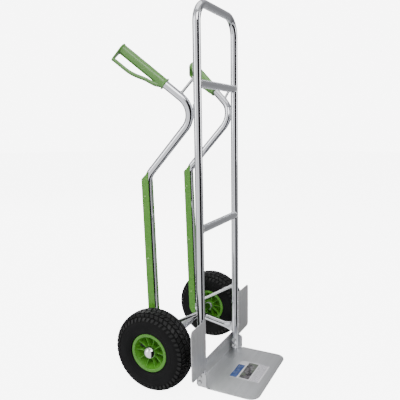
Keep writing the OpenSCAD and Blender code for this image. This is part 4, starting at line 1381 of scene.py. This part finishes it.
# %% Fastener shapes
BOLT_LOW_Z, BOLT_HIGH_Z = 0.017, 0.038
ear_out = half_w
inner_face = SIDE_X - TUBE_R
SEAT_GAP, WASHER_T, NUT_T = 0.0001, 0.0016, 0.0064


def hex_stack(name, layers, material, bore=0.0):
    """Six-sided body from (flat radius, roundness, z) layers. roundness 1 gives a circle."""
    sides = 48
    rings = []
    for r, roundness, z in layers:
        ring = []
        for j in range(sides):
            a = TURN * j / sides
            flat = 1 / math.cos((a + math.pi / 6) % (math.pi / 3) - math.pi / 6)
            k = roundness + (1 - roundness) * flat
            ring.append(Vector((r * k * math.cos(a), r * k * math.sin(a), z)))
        rings.append(ring)
    if bore:
        for z in (layers[-1][2], layers[0][2]):
            rings.append([Vector((bore * math.cos(TURN * j / sides),
                                  bore * math.sin(TURN * j / sides), z))
                          for j in range(sides)])
    return skin(name, rings, material, closed=bool(bore), sharp=25)


head_h = 0.0044
bolt_shape = hex_stack("bolt", [
    (0.0072, 1, 0.0), (0.0072, 1, 0.0009), (0.0069, 1, 0.0012), (0.0059, 0, 0.0013),
    (0.0059, 0, head_h - 0.0007), (0.0056, 1, head_h - 0.0002), (0.0050, 1, head_h)], zinc_plate)
shank_l = ear_out - (inner_face - SEAT_GAP - WASHER_T - NUT_T - 0.003)
thread = [(0.0030, -shank_l)]
turns = 9
for i in range(turns):
    z = -shank_l + 0.0006 + 0.00125 * i
    thread += [(0.0034, z), (0.0040, z + 0.0006)]
thread += [(0.0034, -shank_l + 0.0006 + 0.00125 * turns), (0.0040, -shank_l + 0.0125),
           (0.0040, 0.001)]
shank_shape = turned("shank", thread, zinc_plate, 20, 25)
nut_shape = hex_stack("nut", [(0.0060, 1, 0.0), (0.00652, 0.2, 0.0006), (0.00652, 0, 0.0010),
                              (0.00652, 0, 0.0054), (0.00652, 0.2, 0.0058), (0.0060, 1, 0.0064)],
                      zinc_plate, bore=0.0040)
washer_shape = hex_stack("washer", [(0.0077, 1, 0.0), (0.0080, 1, 0.0003), (0.0080, 1, 0.0013),
                                    (0.0077, 1, 0.0016)], zinc_plate, bore=0.0043)
print("bolt length:", round(shank_l, 4))

# %% Bolts, washers and nuts in place


def bolt_copies(name, x, shapes, node):
    """Joins copies of the shapes on the four bolt places, at x from the middle."""
    places = [(sided(upright_point(z) + Vector((x - SIDE_X, 0, 0)), side), Vector((side, 0, 0)))
              for side in (1, -1) for z in (BOLT_LOW_Z, BOLT_HIGH_Z)]
    blank = bmesh.new()
    for shape in shapes:
        part = fasten(name + "_part", places, shape, zinc_plate, 25)
        blank.from_mesh(part.data)
        bpy.data.objects.remove(part)
    mesh = bpy.data.meshes.new(name)
    blank.to_mesh(mesh)
    blank.free()
    belong(placed(name, mesh, zinc_plate, 25), "frame", node)


bolt_copies("hex_bolts", ear_out, (bolt_shape, shank_shape), "toe_bolts")
bolt_copies("flat_washers", inner_face - SEAT_GAP - WASHER_T, (washer_shape,), "toe_washers")
bolt_copies("hex_nuts", inner_face - SEAT_GAP - WASHER_T - NUT_T, (nut_shape,), "toe_nuts")
print("fasteners done")

# %% [markdown]
# ## Wheels
# A wheel is a few profiles turned about the axle. The tyre's casing is smooth, and its tread
# is one pitch of rubber blocks, bent to the casing and repeated round it. The rim is a green
# moulding with ten thin ribs on each side, and a domed chrome cap closes the hub.

# %% Turning a profile about the axle


def rounded(loop, radius, steps=3):
    """Closed 2-D loop with its corners rounded."""
    out, n = [], len(loop)
    for i in range(n):
        p0, p1, p2 = Vector(loop[i - 1]), Vector(loop[i]), Vector(loop[(i + 1) % n])
        a, b = (p0 - p1), (p2 - p1)
        cut = min(radius, a.length * 0.4, b.length * 0.4)
        s, e = p1 + a.normalized() * cut, p1 + b.normalized() * cut
        for q in range(steps + 1):
            k = q / steps
            out.append(tuple(s * (1 - k) ** 2 + p1 * (2 * k * (1 - k)) + e * k ** 2))
    return out


def wheel_point(r, x, angle, side):
    """Point at radius r and angle round the axle, x out from the wheel's middle plane."""
    return Vector((side * (WHEEL_AT.x + x), WHEEL_AT.y + r * math.cos(angle),
                   WHEEL_AT.z + r * math.sin(angle)))


def lathe(name, loop, side, material, steps=144, sharp=35):
    """Closed (r, x) loop turned about the axle."""
    rings = [[wheel_point(r, x, TURN * i / steps, side) for r, x in loop]
             for i in range(steps)]
    return skin(name, rings, material, closed=True, sharp=sharp)


# %% Tree that repeats a shape round the axle
around, given, out = node_tree("round_the_axle", {"Template": "Object", "Count": "Int",
                                                 "Finish": "Material"})
t = Tree(around)
share = t.math("DIVIDE", t.add("GeometryNodeInputIndex").outputs[0], given["Count"])
turn = t.add("ShaderNodeCombineXYZ", None, X=t.math("MULTIPLY", share, TURN))
copy_onto(t, given["Geometry"], turn.outputs[0], given, out)


def repeat_round(name, shape, count, side, material, sharp=35):
    """Copies a shape, drawn about the origin, count times round the axle."""
    centre = (side * WHEEL_AT.x, WHEEL_AT.y, WHEEL_AT.z)
    seed = bpy.data.meshes.new(name + "_places")
    seed.from_pydata([centre] * count, [], [])
    mesh = grow(around, seed, {"Template": shape, "Count": count, "Finish": material})
    return placed(name, mesh, material, sharp)


print("geometry tree:", around.name)

# %% [markdown]
# ### Tyre
# An air-filled tyre is a thin round casing with thick rubber blocks on it. The casing is half
# a profile, mirrored and turned. Its profile is cut fine so that thin moulded rings can
# stand on the side wall. Blocks are made for one pitch only, and Geometry Nodes repeats them.

# %% Tyre profile
TREAD_H = 0.0028
BELLY_R, BEAD_R, RIM_R, FLANGE_IN = 0.0904, 0.0508, 0.0615, 0.031
crown = [(RIM_R + 0.0012, FLANGE_IN - 0.0002), (RIM_R + 0.0016, FLANGE_IN + 0.0040),
         (RIM_R + 0.0042, FLANGE_IN + 0.0066), (RIM_R + 0.0068, FLANGE_IN + 0.0062),
         (0.0720, 0.0388), (0.0800, 0.0406), (BELLY_R, 0.0414), (0.0990, 0.0408), (0.1065, 0.0390),
         (0.1130, 0.0358), (0.1185, 0.0312), (0.1225, 0.0255), (0.1250, 0.0190), (0.1264, 0.0110),
         (WHEEL_R - TREAD_H, 0.0)]
crown = smooth_curve(crown, 4)
side_line = [(0.0760, 0.0004), (0.0800, 0.0006), (0.0870, 0.0004), (0.0955, 0.0005)]


def casing_x(r, x):
    """Adds the fine rings that stand on a tyre's side wall."""
    lift = sum(h * math.exp(-((r - at) / 0.0007) ** 2) for at, h in side_line)
    return min(x + lift, TYRE_HALF - 0.0001)


fine_crown = []
for (r0, x0), (r1, x1) in zip(crown, crown[1:]):
    parts_n = max(1, round(math.hypot(r1 - r0, x1 - x0) / 0.0012))
    for q in range(parts_n):
        k = q / parts_n
        fine_crown.append((r0 + (r1 - r0) * k, x0 + (x1 - x0) * k))
fine_crown.append(crown[-1])
half_loop = [(r, casing_x(r, x)) for r, x in fine_crown]
inside = [(BEAD_R + 0.0001, 0.0200), (BEAD_R + 0.0001, FLANGE_IN - 0.0012),
          (BEAD_R + 0.0012, FLANGE_IN - 0.0007)]
cavity = [(BEAD_R + 0.0001, 0.0140), (0.0600, 0.0290)]
cavity += [(0.0869 + 0.0361 * math.cos(math.radians(a)), 0.0361 * math.sin(math.radians(a)))
           for a in range(125, -1, -8)]
right_half = list(reversed(cavity[1:])) + [cavity[0]] + inside + half_loop
casing_loop = right_half + [(r, -x) for r, x in reversed(right_half[:-1])]
print("points of the casing:", len(casing_loop))

# %% One pitch of tread blocks
PITCHES = 46
curve_l = [0.0]
for (r0, x0), (r1, x1) in zip(fine_crown, fine_crown[1:]):
    curve_l.append(curve_l[-1] + math.hypot(r1 - r0, x1 - x0))
total_l = curve_l[-1]


def on_casing(s, angle, height, side):
    """Point at distance s from the middle of the tread, measured over the casing."""
    along = total_l - abs(s)
    i = max(k for k in range(len(curve_l) - 1) if curve_l[k] <= along)
    k = (along - curve_l[i]) / (curve_l[i + 1] - curve_l[i])
    (r0, x0), (r1, x1) = fine_crown[i], fine_crown[i + 1]
    go = Vector((r1 - r0, x1 - x0)).normalized()
    r = r0 + (r1 - r0) * k - go.y * height
    x = math.copysign(x0 + (x1 - x0) * k + go.x * height, s)
    return Vector((side * x, r * math.cos(angle), r * math.sin(angle)))


def block_rings(corners, side, inset=0.0008):
    """Rings of a rubber block over four (s, angle) corners, bent to the casing."""
    a, b, c, d = corners
    cuts = max(2, round(abs(b[0] - a[0]) / 0.006))
    rings = []
    for i in range(cuts + 1):
        k = i / cuts
        ends = []
        for p, q in ((a, b), (d, c)):
            ends.append((p[0] + (q[0] - p[0]) * k, p[1] + (q[1] - p[1]) * k))
        height = TREAD_H * (1 - 0.55 * min(max((abs(ends[0][0]) - 0.038) / 0.016, 0), 1))
        pull = math.copysign(inset, b[0] - a[0]) * (1 if i == 0 else -1 if i == cuts else 0)
        turn = inset / WHEEL_R
        (s0, a0), (s1, a1) = ends
        rings.append([on_casing(s0, a0, -0.001, side), on_casing(s0, a0, height - 0.0006, side),
                      on_casing(s0 + pull, a0 + turn, height, side),
                      on_casing(s1 + pull, a1 - turn, height, side),
                      on_casing(s1, a1, height - 0.0006, side), on_casing(s1, a1, -0.001, side)])
    return rings


def many_skins(name, ring_lists, material, sharp=35):
    """Several closed skins in one mesh."""
    verts, faces = [], []
    for rings in ring_lists:
        base, n = len(verts), len(rings[0])
        verts += [p for ring in rings for p in ring]
        for i in range(len(rings) - 1):
            a, b = base + i * n, base + (i + 1) * n
            faces += [(a + j, a + (j + 1) % n, b + (j + 1) % n, b + j) for j in range(n)]
        faces += [tuple(range(base, base + n)), tuple(range(len(verts) - n, len(verts)))]
    return piece(name, verts, faces, material, sharp)


PITCH = TURN / PITCHES
BLOCKS = [((-0.0080, 0.06), (0.0080, 0.40), (0.0080, 1.12), (-0.0080, 0.78)),
          ((0.0102, 0.66), (0.0225, 0.30), (0.0225, 1.04), (0.0102, 1.40)),
          ((0.0247, 0.55), (0.0360, 0.88), (0.0360, 1.60), (0.0247, 1.28)),
          ((0.0382, 0.40), (0.0500, 0.24), (0.0500, 0.74), (0.0382, 1.08))]
BLOCKS += [tuple((-s, a + 0.5) for s, a in corners) for corners in BLOCKS[1:]]
print("blocks on a tyre:", len(BLOCKS) * PITCHES)

# %% [markdown]
# ### Rim, ribs, cap and valve
# The rim is a green moulding: a barrel for the tyre, a thin web and a hub, all turned. Its
# ribs aren't round about the axle, so one pair is drawn and repeated. The cap and the valve
# are turned too, each about its own line.

# %% Rim profile and rib
HUB_R, HUB_HALF, WEB_HALF, BORE_R = 0.019, 0.031, 0.0025, 0.01502
rim_loop = [(0.0615, 0.035), (0.0615, 0.031), (0.0508, 0.0305), (0.0508, 0.020), (0.0448, 0.013),
            (0.0448, -0.013), (0.0508, -0.020), (0.0508, -0.0305), (0.0615, -0.031),
            (0.0615, -0.035), (0.0520, -0.035), (0.0468, -0.020), (0.0408, -0.0065),
            (0.0388, -WEB_HALF), (HUB_R, -WEB_HALF), (HUB_R, -HUB_HALF), (BORE_R, -HUB_HALF),
            (BORE_R, HUB_HALF), (HUB_R, HUB_HALF), (HUB_R, WEB_HALF), (0.0388, WEB_HALF),
            (0.0408, 0.0065), (0.0468, 0.020), (0.0520, 0.035)]
rim_loop = rounded(rim_loop, 0.0013)
RIB_COUNT, RIB_HALF = 10, 0.0013


def rib_rings(face, side):
    """Rings of a rib from the hub to the barrel, thicker at its foot, round at its top."""
    rings = []
    for i in range(13):
        k = i / 12
        r = HUB_R - 0.001 + (0.0505 - HUB_R + 0.001) * k
        top = 0.0250 + 0.0025 * k - 0.0020 * math.sin(math.pi * k)
        flare = 0.0016 * (max(0, 1 - k * 9) ** 2 + max(0, 1 - (1 - k) * 9) ** 2)
        half = RIB_HALF + flare
        foot = WEB_HALF - 0.001
        ring = [(half + 0.0012, foot), (half + 0.0002, foot + 0.003), (half, top - 0.0012),
                (half * 0.72, top - 0.0004), (0, top)]
        ring += [(-t, h) for t, h in reversed(ring[:-1])]
        rings.append([Vector((side * face * h, r, t)) for t, h in ring])
    return rings


print("points of the rim:", len(rim_loop))

# %% Hub cap and valve profiles
CAP_R, CAP_RISE, CAP_SKIRT = 0.0205, 0.014, 0.005
dome_r = (CAP_R ** 2 + CAP_RISE ** 2) / (2 * CAP_RISE)
cap_loop = [(HUB_R + 0.0001, HUB_HALF - CAP_SKIRT), (CAP_R, HUB_HALF - CAP_SKIRT),
            (CAP_R + 0.0003, HUB_HALF - CAP_SKIRT + 0.0006), (CAP_R, HUB_HALF - CAP_SKIRT + 0.0012),
            (CAP_R, HUB_HALF - 0.0002)]
for i in range(25):
    a = math.asin(CAP_R / dome_r) * (1 - i / 24)
    cap_loop.append((max(dome_r * math.sin(a), 0.00002),
                     HUB_HALF + CAP_RISE - dome_r + dome_r * math.cos(a)))
for i in range(25):
    a = math.asin((CAP_R - 0.0012) / (dome_r - 0.0012)) * i / 24
    cap_loop.append((max((dome_r - 0.0012) * math.sin(a), 0.00002),
                     HUB_HALF + CAP_RISE - dome_r + (dome_r - 0.0012) * math.cos(a)))
VALVE_ANGLE, VALVE_AT_R, VALVE_X = math.radians(18), 0.0408, 0.014
stem_profile = [(0.0050, -0.001), (0.0050, 0.001), (0.0039, 0.0025), (0.0036, 0.0068),
                (0.0028, 0.0072)]
valve_cap_profile = [(0.0032, 0.007), (0.0035, 0.0074), (0.0035, 0.0125), (0.0031, 0.0136),
                     (0.0012, 0.0140)]


def at_valve(made, side):
    """Turns a shape drawn along Z so that it points from the barrel to the axle."""
    down = Vector((0, -math.cos(VALVE_ANGLE), -math.sin(VALVE_ANGLE)))
    place = (Matrix.Translation(wheel_point(VALVE_AT_R, VALVE_X, VALVE_ANGLE, side))
             @ down.to_track_quat("Z", "Y").to_matrix().to_4x4())
    made.data.transform(place)
    return made


print("points of the cap:", len(cap_loop))

# %% [markdown]
# ### Both wheels
# The wheels turn on the axle, so each piece rides on its wheel's body and not on the frame.
# Left and right are made by the same lines with the side as a sign. The shapes that were
# only copied are removed at the end, because they aren't pieces.

# %% Build both wheels


def on_wheel(made, word, node):
    """Puts a piece on a wheel, in place of the wheel's CAD node if it stands for one."""
    belong(made, word + "_wheel", node and f"{word}_{node}")


templates = [ripple_shape, rivet_shape, bolt_shape, shank_shape, nut_shape, washer_shape]
for word, side in SIDES:
    on_wheel(lathe(word + "_casing", casing_loop, side, tyre_rubber, 160, 50), word, "tyre")
    pitch = many_skins("tread_pitch", [block_rings([(s, a * PITCH) for s, a in corners], side)
                                       for corners in BLOCKS], tread_rubber)
    tread = repeat_round(word + "_tread_blocks", pitch, PITCHES, side, tread_rubber)
    on_wheel(tread, word, None)
    on_wheel(lathe(word + "_rim_body", rim_loop, side, green_plastic, 128, 40), word, "rim")
    rib_pair = many_skins("rib_pair", [rib_rings(1, side), rib_rings(-1, side)], green_plastic, 50)
    ribs = repeat_round(word + "_rim_ribs", rib_pair, RIB_COUNT, side, green_plastic, 50)
    on_wheel(ribs, word, None)
    on_wheel(lathe(word + "_chrome_cap", cap_loop, side, chrome_cap, 96, 30), word, "hub_cap")
    stem = turned(word + "_stem", stem_profile, valve_black, 24, 40)
    on_wheel(at_valve(stem, side), word, "valve_stem")
    valve_cap = turned(word + "_stem_cap", valve_cap_profile, valve_black, 12, 25)
    on_wheel(at_valve(valve_cap, side), word, "valve_cap")
    templates += [pitch, rib_pair]
for shape in templates:
    bpy.data.objects.remove(shape)
print("wheels done")

# %% [markdown]
# ## Inner pieces
# The axle rod, its washers and pins, the bearings, the spacers and the inner tubes sit behind
# other pieces. They keep their CAD meshes and only take the right finish.

# %% Finishes for the nodes that stay
stays = [("axle_rod", zinc_plate), ("axle_washers", zinc_plate), ("split_pins", zinc_plate)]
for word, _ in SIDES:
    stays += [(word + "_inner_tube", soft_rubber), (word + "_bearings", bearing_steel),
              (word + "_hub_spacer", bearing_steel)]
for node, material in stays:
    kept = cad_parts[node]
    kept.data.materials.clear()
    kept.data.materials.append(material)
shown = [o.name for o in scene.objects if o.type == "MESH" and not o.hide_render]
print(len(shown), "meshes shown")

# %% [markdown]
# ## Last update
# The view layer is updated once more at the end.

# %% Update the view layer
bpy.context.view_layer.update()
